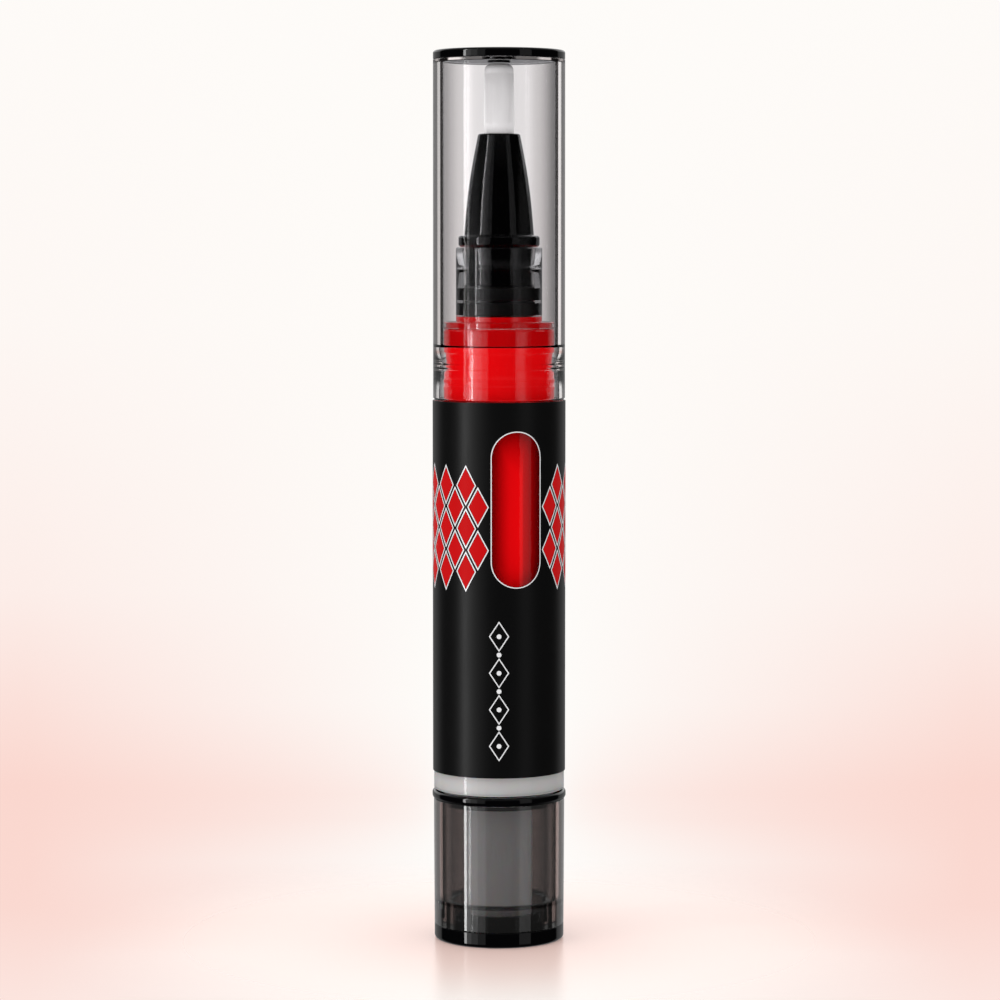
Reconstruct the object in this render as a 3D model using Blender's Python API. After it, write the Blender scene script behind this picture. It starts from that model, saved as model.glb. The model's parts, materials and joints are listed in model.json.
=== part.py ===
"""A twist-up cuticle oil pen, standing on its knob with its cap on.

Turning the knob turns a tube with a flat-sided bore. The flats of the screw rod slide in that
bore, so the rod turns too, climbs through the nut that is fixed in the barrel, and pushes the
piston up. The oil then leaves through the feed tube into the brush. All lengths are in metres,
+Z is up, and the pen's axis is the Z axis with its base on the plane z = 0.
"""

import math

import bmesh
import bpy
from mathutils import Matrix, Vector
from mathutils.geometry import delaunay_2d_cdt

MM = 0.001

# Gaps between pieces
SEAT_GAP = 0.05 * MM
FIT_GAP = 0.05 * MM
RUN_GAP = 0.15 * MM

# Knob: the black base, the smoked shell and the black ring on its top
BASE_DISC_HEIGHT = 1.95 * MM
BASE_EDGE_FILLET = 0.45 * MM
KNOB_HEIGHT = 16.38 * MM
KNOB_INSET = 0.03 * MM
KNOB_FLARE = 0.08 * MM
KNOB_WALL = 1.6 * MM
RIM_RING_HEIGHT = 1.1 * MM
RIM_RING_OVERHANG = 0.18 * MM
RIM_RING_FILLET = 0.4 * MM
RIM_LIP_DEPTH = 0.8 * MM
RIM_LIP_WALL = 0.6 * MM
LEDGE_HEIGHT = 3.15 * MM
LEDGE_WIDTH = 0.75 * MM
NOTCH_DEPTH = 2.4 * MM
NOTCH_REACH = 0.5 * MM
NOTCH_WIDTH = 1.0 * MM
NOTCH_PAIRS = 4
NOTCH_ANGLE = math.radians(7.6)
PLUG_RIM_HEIGHT = 0.9 * MM
PLUG_RIM_WALL = 0.7 * MM
SOCKET_HEIGHT = 1.6 * MM
SOCKET_WALL = 0.7 * MM

# Barrel: the clear body, the spigot that the cap snaps on, and the neck that takes the nozzle
BARREL_RADIUS = 8.45 * MM
BARREL_WALL = 2.2 * MM
SLEEVE_SEAT_WALL = 1.3 * MM
SLEEVE_SEAT_DEPTH = 16.9 * MM
STRIP_HEIGHT = 2.4 * MM
BARREL_FOOT_FILLET = 0.2 * MM
SHOULDER_LAND = 0.15 * MM
SHOULDER_FILLET = 0.12 * MM
SPIGOT_WALL = 0.9 * MM
SPIGOT_HEIGHT = 10.0 * MM
SPIGOT_FILLET = 0.15 * MM
END_WALL = 0.9 * MM
BEAD_HEIGHTS = (1.7 * MM, 2.7 * MM)
BEAD_RISE = 0.1 * MM
BEAD_HALF_WIDTH = 0.25 * MM
SNAP_GROOVE_HEIGHT = 3.9 * MM
SNAP_GROOVE_WIDTH = 2.1 * MM
SNAP_GROOVE_DEPTH = 0.22 * MM
SNAP_GROOVE_SLOPE = 0.2 * MM
TOP_GROOVE_DROP = 1.0 * MM
TOP_GROOVE_DEPTH = 0.2 * MM
TOP_GROOVE_HALF_WIDTH = 0.15 * MM
NECK_RADIUS = 5.57 * MM
NECK_WALL = 0.97 * MM
NECK_HEIGHT = 9.55 * MM
NECK_FILLET = 0.15 * MM
NECK_RIB_DROP = 2.75 * MM
NECK_RIB_DEPTH = 0.2 * MM
NECK_RIB_HALF_WIDTH = 0.5 * MM

# Label: a thin black sleeve with a slot that shows the oil
LABEL_HEIGHT = 48.1 * MM
LABEL_THICKNESS = 0.12 * MM
LABEL_GAP = 0.03 * MM
WINDOW_DROP = 3.8 * MM
WINDOW_LENGTH = 19.75 * MM
WINDOW_WIDTH = 6.45 * MM
WINDOW_ANGLE = math.radians(-74.6)
WINDOW_ROUND_STEPS = 10

# Feed mechanism: sleeve, nut, driver tube, screw rod and click spring
SLEEVE_WALL = 0.9 * MM
SLEEVE_SHELF = 1.0 * MM
SLEEVE_CHAMBER_HEIGHT = 1.8 * MM
RATCHET_HEIGHT = 3.0 * MM
RATCHET_TEETH = 12
RATCHET_TOOTH_DEPTH = 0.5 * MM
NUT_FLANGE_HEIGHT = 2.9 * MM
NUT_BOSS_HEIGHT = 2.6 * MM
SPRING_ROOM = 1.9 * MM
DRIVER_WALL = 0.9 * MM
DRIVER_FLANGE_RISE = 0.9 * MM
DRIVER_KEY_LENGTH = 4.0 * MM
ROD_ROOM = 0.8 * MM
THREAD_DEPTH = 0.5 * MM
THREAD_PITCH = 2.0 * MM
THREAD_CLEARANCE = 0.16 * MM
THREAD_ROOT_SHARE = 0.36
THREAD_FLANK_SHARE = 0.18
THREAD_COLUMNS = 18
THREAD_ROWS_PER_PITCH = 4
ROD_FLAT_SHARE = 0.75
ROD_FOOT_GAP = 1.2 * MM
ROD_PEG_INSET = 1.0 * MM
ROD_PEG_LENGTH = 2.4 * MM
ROD_PEG_CHAMFER = 0.3 * MM
SPRING_HUB_WALL = 0.35 * MM
SPRING_ARM_THICKNESS = 0.3 * MM
SPRING_HEIGHT = 2.2 * MM
SPRING_LIFT = 0.4 * MM
SPRING_ARMS = 2
SPRING_ARM_SWEEP = math.radians(112)
SPRING_SLOT_SWEEP = math.radians(16)
SPRING_NOSE_SWEEP = math.radians(8)
SPRING_NOSE_LAG = math.radians(3)
SPRING_ARM_STEPS = 9
SPRING_HUB_STEPS = 10
DRIVER_KEY_STEPS = 6

# Piston and oil
PISTON_HEIGHT = 4.6 * MM
PISTON_REST_GAP = 0.5 * MM
PISTON_LIP_HEIGHT = 0.9 * MM
PISTON_WAIST_DEPTH = 0.7 * MM
PISTON_CROWN_RISE = 0.5 * MM
PISTON_CROWN_SHARE = 0.55

# Nozzle, its seals, the feed tube and the brush
FLANGE_RADIUS = 5.24 * MM
FLANGE_HEIGHT = 1.45 * MM
FLANGE_FILLET = 0.4 * MM
CONE_HEIGHT = 13.05 * MM
CONE_BASE_RADIUS = 4.5 * MM
CONE_TOP_RADIUS = 2.68 * MM
CONE_BULGE = 0.26 * MM
CONE_STEPS = 5
CONE_TOP_FILLET = 0.35 * MM
SHANK_GAP = 0.3 * MM
SHANK_BOTTOM_GAP = 0.68 * MM
SEAL_ZONE_HEIGHT = 3.82 * MM
SEAL_COUNT = 2
SEAL_SECTION = 1.25 * MM
SEAL_EDGE_FILLET = 0.3 * MM
FEED_TUBE_RADIUS = 0.9 * MM
FEED_TUBE_WALL = 0.4 * MM
FERRULE_RADIUS = 2.15 * MM
FERRULE_WALL = 0.2 * MM
FERRULE_LENGTH = 5.0 * MM
FERRULE_DROP = 1.9 * MM
BRUSH_REACH = 8.95 * MM
BRUSH_TIP_RADIUS = 2.03 * MM
BRUSH_TIP_ROUND = 1.3 * MM
BRUSH_SLICE = 1.0 * MM
BRUSH_EYE_RADIUS = 0.5 * MM
BRISTLE_SPACING = 0.18 * MM
BRISTLE_RADIUS = 0.062 * MM
BRISTLE_EDGE_MARGIN = 0.09 * MM
BRISTLE_TIP_SHARE = 0.75
BRISTLE_SIDES = 3

# Cap: the smoked shell and the black disc that closes its top
CAP_WALL = 1.25 * MM
CAP_DRAFT = 0.03 * MM
CAP_SPIGOT_GAP = 0.1 * MM
CAP_MOUTH_RELIEF = 0.4 * MM
CAP_MOUTH_DEPTH = 6.85 * MM
CAP_RIM_FILLET = 0.2 * MM
CAP_SNAP_HEIGHT = 4.3 * MM
CAP_SNAP_HALF_WIDTH = 0.5 * MM
CAP_SNAP_RISE = 0.22 * MM
CAP_END_WALL = 0.3 * MM
CAP_HEADROOM = 0.26 * MM
CAP_DISC_HEIGHT = 1.1 * MM
CAP_DISC_FILLET = 0.35 * MM
PIP_RADIUS = 1.4 * MM
PIP_STAND_OUT = 0.15 * MM

# Facets and mesh tolerances
SEGMENTS = 36
SMALL_SEGMENTS = 24
TUBE_SEGMENTS = 12
FILLET_STEPS = 2
FILLET_REACH_SHARE = 0.45
WELD = 0.0002 * MM
CUT_OVERRUN = 1.0 * MM
SHARP_ANGLE = math.radians(32)

# Radii that follow from the sizes above
KNOB_BASE_RADIUS = BARREL_RADIUS - KNOB_INSET
KNOB_TOP_RADIUS = KNOB_BASE_RADIUS + KNOB_FLARE
KNOB_BORE_RADIUS = KNOB_BASE_RADIUS - KNOB_WALL
LEDGE_BORE_RADIUS = KNOB_BORE_RADIUS - LEDGE_WIDTH
BORE_RADIUS = BARREL_RADIUS - BARREL_WALL
SPIGOT_RADIUS = BORE_RADIUS + SPIGOT_WALL
SLEEVE_SEAT_RADIUS = BARREL_RADIUS - SLEEVE_SEAT_WALL
SLEEVE_RADIUS = SLEEVE_SEAT_RADIUS - FIT_GAP
SLEEVE_BORE_RADIUS = SLEEVE_RADIUS - SLEEVE_WALL
NECK_BORE_RADIUS = NECK_RADIUS - NECK_WALL
SHANK_RADIUS = NECK_BORE_RADIUS - SHANK_GAP
SEAL_SEAT_RADIUS = NECK_BORE_RADIUS - FIT_GAP - SEAL_SECTION - FIT_GAP
DRIVER_RADIUS = SLEEVE_BORE_RADIUS - SPRING_ROOM
DRIVER_BORE_RADIUS = DRIVER_RADIUS - DRIVER_WALL
DRIVER_FLANGE_RADIUS = DRIVER_RADIUS + DRIVER_FLANGE_RISE
THREAD_RADIUS = DRIVER_BORE_RADIUS - ROD_ROOM
ROD_FLAT_WIDTH = 2 * THREAD_RADIUS * ROD_FLAT_SHARE
ROD_PEG_RADIUS = THREAD_RADIUS - ROD_PEG_INSET
FERRULE_BORE_RADIUS = FERRULE_RADIUS - FERRULE_WALL
BRUSH_ROOT_RADIUS = FERRULE_BORE_RADIUS - FIT_GAP
CAP_BORE_RADIUS = SPIGOT_RADIUS + CAP_SPIGOT_GAP
CAP_MOUTH_RADIUS = CAP_BORE_RADIUS + CAP_MOUTH_RELIEF
CAP_TOP_RADIUS = CAP_BORE_RADIUS + CAP_WALL
CAP_RIM_RADIUS = CAP_TOP_RADIUS + CAP_DRAFT

# Heights of each piece's lowest point, from the base up
KNOB_Z = BASE_DISC_HEIGHT + SEAT_GAP
RIM_RING_Z = KNOB_Z + KNOB_HEIGHT + SEAT_GAP
BARREL_Z = RIM_RING_Z + RIM_RING_HEIGHT + RUN_GAP
LABEL_Z = BARREL_Z + STRIP_HEIGHT
BARREL_BODY_HEIGHT = STRIP_HEIGHT + LABEL_HEIGHT + SHOULDER_LAND
SHOULDER_Z = BARREL_Z + BARREL_BODY_HEIGHT
BORE_TOP_Z = SHOULDER_Z + SPIGOT_HEIGHT - END_WALL
NECK_TOP_Z = SHOULDER_Z + SPIGOT_HEIGHT + NECK_HEIGHT
NUT_FLANGE_Z = BARREL_Z + SLEEVE_SEAT_DEPTH - SEAT_GAP - NUT_FLANGE_HEIGHT
NUT_HEIGHT = NUT_FLANGE_HEIGHT + NUT_BOSS_HEIGHT
SLEEVE_Z = BARREL_Z + SEAT_GAP
SLEEVE_HEIGHT = NUT_FLANGE_Z - SEAT_GAP - SLEEVE_Z
SLEEVE_SHELF_TOP_Z = SLEEVE_Z + SLEEVE_HEIGHT - SLEEVE_CHAMBER_HEIGHT
DRIVER_Z = KNOB_Z
DRIVER_TOP_Z = NUT_FLANGE_Z - RUN_GAP
ROD_Z = BASE_DISC_HEIGHT + ROD_FOOT_GAP
PISTON_Z = NUT_FLANGE_Z + NUT_HEIGHT + PISTON_REST_GAP
OIL_Z = PISTON_Z + PISTON_HEIGHT + SEAT_GAP
NOZZLE_SEAT_Z = NECK_TOP_Z + SEAT_GAP
SHANK_Z = SHOULDER_Z + SPIGOT_HEIGHT + SHANK_BOTTOM_GAP
CONE_TOP_Z = NOZZLE_SEAT_Z + FLANGE_HEIGHT + CONE_HEIGHT
FERRULE_Z = CONE_TOP_Z - FERRULE_DROP - FERRULE_LENGTH
BRUSH_TOP_Z = CONE_TOP_Z + BRUSH_REACH
CAP_Z = SHOULDER_Z + SEAT_GAP
CAP_TOP_Z = BRUSH_TOP_Z + CAP_HEADROOM + CAP_END_WALL


def clear_scene():
    """Removes every object, mesh and material that the file already holds."""
    for obj in list(bpy.data.objects):
        bpy.data.objects.remove(obj, do_unlink=True)
    for store in (bpy.data.meshes, bpy.data.materials):
        for block in list(store):
            store.remove(block)


def plastic(name, colour, roughness, metallic=0.0, transmission=0.0, alpha=1.0):
    """A Principled BSDF material."""
    made = bpy.data.materials.new(name)
    made.use_nodes = True
    shader = made.node_tree.nodes["Principled BSDF"]
    shader.inputs["Base Color"].default_value = (*colour, 1.0)
    shader.inputs["Roughness"].default_value = roughness
    shader.inputs["Metallic"].default_value = metallic
    shader.inputs["Transmission Weight"].default_value = transmission
    shader.inputs["Alpha"].default_value = alpha
    made.diffuse_color = (*colour, alpha)
    return made


def finishes():
    """The material of each kind of piece, by name."""
    return {
        "smoked": plastic("smoked_clear", (0.34, 0.33, 0.33), 0.06, transmission=0.9),
        "clear": plastic("clear_plastic", (0.93, 0.92, 0.92), 0.05, transmission=0.95),
        "black_gloss": plastic("black_gloss", (0.010, 0.010, 0.011), 0.12),
        "label": plastic("black_satin_label", (0.012, 0.012, 0.013), 0.42),
        "oil": plastic("red_oil", (0.86, 0.004, 0.006), 0.05, transmission=0.4),
        "natural": plastic("natural_plastic", (0.72, 0.69, 0.68), 0.4, transmission=0.2),
        "white": plastic("white_feed_parts", (0.80, 0.79, 0.77), 0.45),
        "rubber": plastic("black_rubber", (0.015, 0.015, 0.015), 0.55),
        "steel": plastic("brushed_ferrule", (0.62, 0.62, 0.64), 0.3, metallic=1.0),
        "bristle": plastic("white_bristle", (0.86, 0.85, 0.83), 0.5, transmission=0.2),
    }


def rounded(corners, closed):
    """The corners (radius, height, optional fillet) of a half section, with the fillets drawn as arcs."""
    points = []
    count = len(corners)
    for index, corner in enumerate(corners):
        here = Vector(corner[:2])
        at_end = not closed and index in (0, count - 1)
        if len(corner) < 3 or at_end:
            points.append(here)
            continue
        back = Vector(corners[index - 1][:2]) - here
        ahead = Vector(corners[(index + 1) % count][:2]) - here
        half = back.angle(ahead) / 2
        shorter = min(back.length, ahead.length)
        reach = min(corner[2] / math.tan(half), FILLET_REACH_SHARE * shorter)
        back.normalize()
        ahead.normalize()
        centre = here + (back + ahead).normalized() * (reach / math.cos(half))
        first = here + back * reach - centre
        last = here + ahead * reach - centre
        sweep = math.atan2(first.x * last.y - first.y * last.x, first.dot(last))
        for step in range(FILLET_STEPS + 1):
            turn = Matrix.Rotation(sweep * step / FILLET_STEPS, 2)
            points.append(centre + turn @ first)
    return points


def placed(name, shape, finish, holder, height):
    """The object of a finished bmesh, with smooth shading, its material and its place on the axis."""
    bmesh.ops.remove_doubles(shape, verts=shape.verts, dist=WELD)
    bmesh.ops.recalc_face_normals(shape, faces=shape.faces)
    mesh = bpy.data.meshes.new(name)
    shape.to_mesh(mesh)
    shape.free()
    mesh.materials.append(finish)
    mesh.shade_smooth()
    mesh.set_sharp_from_angle(angle=SHARP_ANGLE)
    obj = bpy.data.objects.new(name, mesh)
    bpy.context.scene.collection.objects.link(obj)
    obj.location.z = height
    obj.parent = holder
    return obj


def turned(name, corners, finish, holder, height, segments=SEGMENTS):
    """A piece turned round the axis from its half section, whose heights start at the piece's own foot."""
    solid = corners[0][0] == 0 and corners[-1][0] == 0
    points = rounded(corners, closed=not solid)
    shape = bmesh.new()
    verts = [shape.verts.new((point.x, 0, point.y)) for point in points]
    pairs = list(zip(verts, verts[1:]))
    if not solid:
        pairs.append((verts[-1], verts[0]))
    edges = [shape.edges.new(pair) for pair in pairs]
    bmesh.ops.spin(
        shape,
        geom=verts + edges,
        cent=(0, 0, 0),
        axis=(0, 0, 1),
        angle=2 * math.pi,
        steps=segments,
        use_merge=True,
    )
    return placed(name, shape, finish, holder, height)


def skinned(columns):
    """A bmesh with a quad between each two neighbours, through equal columns of points round the axis."""
    shape = bmesh.new()
    grid = [[shape.verts.new(point) for point in column] for column in columns]
    for column, beside in zip(grid, grid[1:] + grid[:1]):
        for row in range(len(column) - 1):
            shape.faces.new((column[row], beside[row], beside[row + 1], column[row + 1]))
    return shape


def prism(name, outline, low, high, finish):
    """An outline in the plane z = 0 drawn up from one height to another, used as a cutter."""
    shape = bmesh.new()
    foot = shape.faces.new([shape.verts.new((x, y, low)) for x, y in outline])
    drawn = bmesh.ops.extrude_face_region(shape, geom=[foot])
    risen = [item for item in drawn["geom"] if isinstance(item, bmesh.types.BMVert)]
    bmesh.ops.translate(shape, verts=risen, vec=(0, 0, high - low))
    cutter = placed(name, shape, finish, None, 0)
    cutter.hide_render = True
    cutter.display_type = "WIRE"
    return cutter


def cut(obj, cutter):
    """Takes the cutter's shape out of the object."""
    cutter.parent = obj.parent
    boolean = obj.modifiers.new(cutter.name, "BOOLEAN")
    boolean.operation = "DIFFERENCE"
    boolean.solver = "EXACT"
    boolean.object = cutter


def arc_points(radius, start, end, steps, centre=(0, 0)):
    """Points along an arc, both ends included."""
    return [
        (
            centre[0] + radius * math.cos(start + (end - start) * step / steps),
            centre[1] + radius * math.sin(start + (end - start) * step / steps),
        )
        for step in range(steps + 1)
    ]


def knob_base_plug(finish, holder):
    """The black base: a disc with a rim that fits in the knob's ledge and a socket for the driver tube."""
    rim_radius = LEDGE_BORE_RADIUS - FIT_GAP
    rim_top = BASE_DISC_HEIGHT + PLUG_RIM_HEIGHT
    socket_bore = DRIVER_RADIUS + FIT_GAP
    socket_radius = socket_bore + SOCKET_WALL
    socket_top = BASE_DISC_HEIGHT + SOCKET_HEIGHT
    return turned(
        "knob_base_plug",
        [
            (0, BASE_DISC_HEIGHT),
            (socket_bore, BASE_DISC_HEIGHT),
            (socket_bore, socket_top),
            (socket_radius, socket_top),
            (socket_radius, BASE_DISC_HEIGHT),
            (rim_radius - PLUG_RIM_WALL, BASE_DISC_HEIGHT),
            (rim_radius - PLUG_RIM_WALL, rim_top),
            (rim_radius, rim_top),
            (rim_radius, BASE_DISC_HEIGHT),
            (KNOB_BASE_RADIUS, BASE_DISC_HEIGHT),
            (KNOB_BASE_RADIUS, 0, BASE_EDGE_FILLET),
            (0, 0),
        ],
        finish,
        holder,
        0,
    )


def knob_shell(finish, holder):
    """The smoked tube that the fingers turn, with a notched ledge inside its foot."""
    shell = turned(
        "knob_shell",
        [
            (KNOB_BASE_RADIUS, 0),
            (KNOB_TOP_RADIUS, KNOB_HEIGHT),
            (KNOB_BORE_RADIUS, KNOB_HEIGHT),
            (KNOB_BORE_RADIUS, LEDGE_HEIGHT),
            (LEDGE_BORE_RADIUS, LEDGE_HEIGHT),
            (LEDGE_BORE_RADIUS, 0),
        ],
        finish,
        holder,
        KNOB_Z,
    )
    reach = LEDGE_BORE_RADIUS + NOTCH_REACH
    half = NOTCH_WIDTH / 2
    foot = KNOB_Z + LEDGE_HEIGHT - NOTCH_DEPTH
    for pair in range(NOTCH_PAIRS):
        outline = [(-reach, -half), (reach, -half), (reach, half), (-reach, half)]
        top = KNOB_Z + LEDGE_HEIGHT + CUT_OVERRUN
        notch = prism(f"ledge_notch_{pair}", outline, foot, top, finish)
        notch.rotation_euler.z = NOTCH_ANGLE - math.pi / 2 + math.pi * pair / NOTCH_PAIRS
        cut(shell, notch)
    return shell


def knob_rim_ring(finish, holder):
    """The black ring on the knob's top, with a lip that sits in the knob's bore."""
    lip_radius = KNOB_BORE_RADIUS - FIT_GAP
    radius = KNOB_TOP_RADIUS + RIM_RING_OVERHANG
    return turned(
        "knob_rim_ring",
        [
            (lip_radius, 0),
            (lip_radius, RIM_LIP_DEPTH),
            (radius, RIM_LIP_DEPTH, RIM_RING_FILLET),
            (radius, RIM_LIP_DEPTH + RIM_RING_HEIGHT, RIM_RING_FILLET),
            (lip_radius - RIM_LIP_WALL, RIM_LIP_DEPTH + RIM_RING_HEIGHT),
            (lip_radius - RIM_LIP_WALL, 0),
        ],
        finish,
        holder,
        RIM_RING_Z - RIM_LIP_DEPTH,
    )


def spigot_outline():
    """The spigot's outer side from the shoulder up: two beads, the snap groove and the top groove."""
    base = BARREL_BODY_HEIGHT
    side = SPIGOT_RADIUS
    points = [(side, base)]
    for bead in BEAD_HEIGHTS:
        points += [
            (side, base + bead - BEAD_HALF_WIDTH),
            (side + BEAD_RISE, base + bead),
            (side, base + bead + BEAD_HALF_WIDTH),
        ]
    groove = base + SNAP_GROOVE_HEIGHT
    floor = side - SNAP_GROOVE_DEPTH
    points += [
        (side, groove),
        (floor, groove + SNAP_GROOVE_SLOPE),
        (floor, groove + SNAP_GROOVE_WIDTH - SNAP_GROOVE_SLOPE),
        (side, groove + SNAP_GROOVE_WIDTH),
    ]
    line = base + SPIGOT_HEIGHT - TOP_GROOVE_DROP
    points += [
        (side, line - TOP_GROOVE_HALF_WIDTH),
        (side - TOP_GROOVE_DEPTH, line),
        (side, line + TOP_GROOVE_HALF_WIDTH),
        (side, base + SPIGOT_HEIGHT, SPIGOT_FILLET),
    ]
    return points


def barrel(finish, holder):
    """The clear barrel in one piece: body, spigot and neck, bored right through."""
    spigot_top = BARREL_BODY_HEIGHT + SPIGOT_HEIGHT
    top = spigot_top + NECK_HEIGHT
    rib = top - NECK_RIB_DROP
    return turned(
        "barrel",
        [
            (BARREL_RADIUS, 0, BARREL_FOOT_FILLET),
            (BARREL_RADIUS, BARREL_BODY_HEIGHT, SHOULDER_FILLET),
            *spigot_outline(),
            (NECK_RADIUS, spigot_top),
            (NECK_RADIUS, top, NECK_FILLET),
            (NECK_BORE_RADIUS, top),
            (NECK_BORE_RADIUS, rib + NECK_RIB_HALF_WIDTH),
            (NECK_BORE_RADIUS + NECK_RIB_DEPTH, rib),
            (NECK_BORE_RADIUS, rib - NECK_RIB_HALF_WIDTH),
            (NECK_BORE_RADIUS, spigot_top - END_WALL),
            (BORE_RADIUS, spigot_top - END_WALL),
            (BORE_RADIUS, SLEEVE_SEAT_DEPTH),
            (SLEEVE_SEAT_RADIUS, SLEEVE_SEAT_DEPTH),
            (SLEEVE_SEAT_RADIUS, 0),
        ],
        finish,
        holder,
        BARREL_Z,
    )


def label_sleeve(finish, holder):
    """The black label sleeve, with its slot cut out where the oil shows."""
    inner = BARREL_RADIUS + LABEL_GAP
    outer = inner + LABEL_THICKNESS
    sleeve = turned(
        "label_sleeve",
        [(outer, 0), (outer, LABEL_HEIGHT), (inner, LABEL_HEIGHT), (inner, 0)],
        finish,
        holder,
        LABEL_Z,
    )
    end_radius = WINDOW_WIDTH / 2
    half = WINDOW_LENGTH / 2 - end_radius
    outline = arc_points(end_radius, 0, math.pi, WINDOW_ROUND_STEPS, (0, half))
    outline += arc_points(end_radius, math.pi, 2 * math.pi, WINDOW_ROUND_STEPS, (0, -half))
    slot = prism("window_slot", outline, 0, outer + CUT_OVERRUN, finish)
    slot.rotation_euler = (math.pi / 2, 0, WINDOW_ANGLE + math.pi / 2)
    slot.location.z = LABEL_Z + LABEL_HEIGHT - WINDOW_DROP - WINDOW_LENGTH / 2
    cut(sleeve, slot)
    return sleeve


def mechanism_sleeve(finish, holder):
    """The natural sleeve in the barrel's foot: ratchet teeth below, a shelf for the driver above."""
    columns = []
    tooth_columns = SEGMENTS // RATCHET_TEETH
    tip = SLEEVE_BORE_RADIUS - RATCHET_TOOTH_DEPTH
    shelf_bore = DRIVER_RADIUS + RUN_GAP
    chamber = DRIVER_FLANGE_RADIUS + RUN_GAP
    shelf_top = SLEEVE_SHELF_TOP_Z - SLEEVE_Z
    for index in range(SEGMENTS):
        climb = (index % tooth_columns) / (tooth_columns - 1)
        tooth = SLEEVE_BORE_RADIUS + (tip - SLEEVE_BORE_RADIUS) * climb
        section = [
            (SLEEVE_RADIUS, 0),
            (SLEEVE_RADIUS, SLEEVE_HEIGHT),
            (chamber, SLEEVE_HEIGHT),
            (chamber, shelf_top),
            (shelf_bore, shelf_top),
            (shelf_bore, shelf_top - SLEEVE_SHELF),
            (SLEEVE_BORE_RADIUS, shelf_top - SLEEVE_SHELF),
            (SLEEVE_BORE_RADIUS, RATCHET_HEIGHT),
            (tooth, RATCHET_HEIGHT),
            (tooth, 0),
            (SLEEVE_RADIUS, 0),
        ]
        angle = 2 * math.pi * index / SEGMENTS
        columns.append([(r * math.cos(angle), r * math.sin(angle), z) for r, z in section])
    return placed("mechanism_sleeve", skinned(columns), finish, holder, SLEEVE_Z)


def thread_rows(crest, root, low, high, angle):
    """(radius, height) down one side of a right-hand thread at an angle, cut off flat at both ends."""
    flank = THREAD_FLANK_SHARE
    ramp_start = THREAD_ROOT_SHARE
    ramp_end = ramp_start + flank
    fall_start = 1 - flank
    corners = [(0, root), (ramp_start, root), (ramp_end, crest), (fall_start, crest), (1, root)]

    def radius_at(phase):
        for (start, first), (end, second) in zip(corners, corners[1:]):
            if phase <= end:
                return first + (second - first) * (phase - start) / (end - start)
        return root

    turn = angle / (2 * math.pi)
    first_turn = math.floor(low / THREAD_PITCH) - 1
    last_turn = math.ceil(high / THREAD_PITCH) + 1
    rows = []
    for lap in range(first_turn, last_turn):
        for share, _ in corners[:-1]:
            height = min(max((lap + share + turn) * THREAD_PITCH, low), high)
            phase = height / THREAD_PITCH - turn
            rows.append((radius_at(phase - math.floor(phase)), height))
    return rows


def thread_columns(crest, root, low, high):
    """The columns of thread points round the axis, from low to high."""
    turns = [2 * math.pi * index / THREAD_COLUMNS for index in range(THREAD_COLUMNS)]
    return turns, [thread_rows(crest, root, low, high, angle) for angle in turns]


def screw_rod(finish, holder):
    """The feed screw: a right-hand thread with two flats, and a peg on its top for the piston."""
    crest = THREAD_RADIUS
    root = THREAD_RADIUS - THREAD_DEPTH
    peg_top = PISTON_Z + ROD_PEG_LENGTH - ROD_Z
    thread_top = PISTON_Z - SEAT_GAP - ROD_Z
    flat = ROD_FLAT_WIDTH / 2
    turns, threads = thread_columns(crest, root, 0, thread_top)
    columns = []
    for angle, rows in zip(turns, threads):
        ends = [(0, 0), (ROD_PEG_RADIUS, 0)]
        peg = [
            (ROD_PEG_RADIUS, thread_top),
            (ROD_PEG_RADIUS, peg_top - ROD_PEG_CHAMFER),
            (ROD_PEG_RADIUS - ROD_PEG_CHAMFER, peg_top),
            (0, peg_top),
        ]
        column = []
        for radius, height in [*ends, *rows, *peg]:
            x = min(max(radius * math.cos(angle), -flat), flat)
            column.append((x, radius * math.sin(angle), height))
        columns.append(column)
    shape = wrapped_thread(columns, len(ends), len(peg))
    return placed("screw_rod", shape, finish, holder, ROD_Z)


def wrapped_thread(columns, foot_rows, head_rows):
    """A bmesh round thread columns, whose last column meets the first one a turn of the thread higher."""
    step = THREAD_ROWS_PER_PITCH
    shape = bmesh.new()
    grid = [[shape.verts.new(point) for point in column] for column in columns]
    rows = len(grid[0])
    for index, column in enumerate(grid):
        last = index == len(grid) - 1
        beside = grid[0] if last else grid[index + 1]
        for row in range(rows - 1):
            low, high = row, row + 1
            if last:
                low = wrapped_row(row, rows, foot_rows, head_rows, step)
                high = wrapped_row(row + 1, rows, foot_rows, head_rows, step)
            corners = [column[row], beside[low], beside[high], column[row + 1]]
            shape.faces.new(list(dict.fromkeys(corners)))
    return shape


def wrapped_row(row, rows, foot_rows, head_rows, step):
    """The row of the first column that a row of the last column meets."""
    if row < foot_rows or row >= rows - head_rows:
        return row
    return min(row + step, rows - head_rows - 1)


def guide_nut(finish, holder):
    """The nut fixed in the barrel: a flange on the sleeve, a boss in the bore, a thread through both."""
    crest = THREAD_RADIUS + THREAD_CLEARANCE
    root = crest - THREAD_DEPTH
    flange_radius = SLEEVE_SEAT_RADIUS - FIT_GAP
    boss_radius = BORE_RADIUS - FIT_GAP
    lead = NUT_FLANGE_Z - ROD_Z
    turns, threads = thread_columns(crest, root, lead, lead + NUT_HEIGHT)
    columns = []
    for angle, rows in zip(turns, threads):
        thread = [(radius, height - lead) for radius, height in rows]
        outside = [
            (boss_radius, NUT_HEIGHT),
            (boss_radius, NUT_FLANGE_HEIGHT),
            (flange_radius, NUT_FLANGE_HEIGHT),
            (flange_radius, 0),
            thread[0],
        ]
        columns.append(
            [(r * math.cos(angle), r * math.sin(angle), z) for r, z in [*thread, *outside]]
        )
    shape = wrapped_thread(columns, 0, len(outside))
    return placed("guide_nut", shape, finish, holder, NUT_FLANGE_Z)


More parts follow.
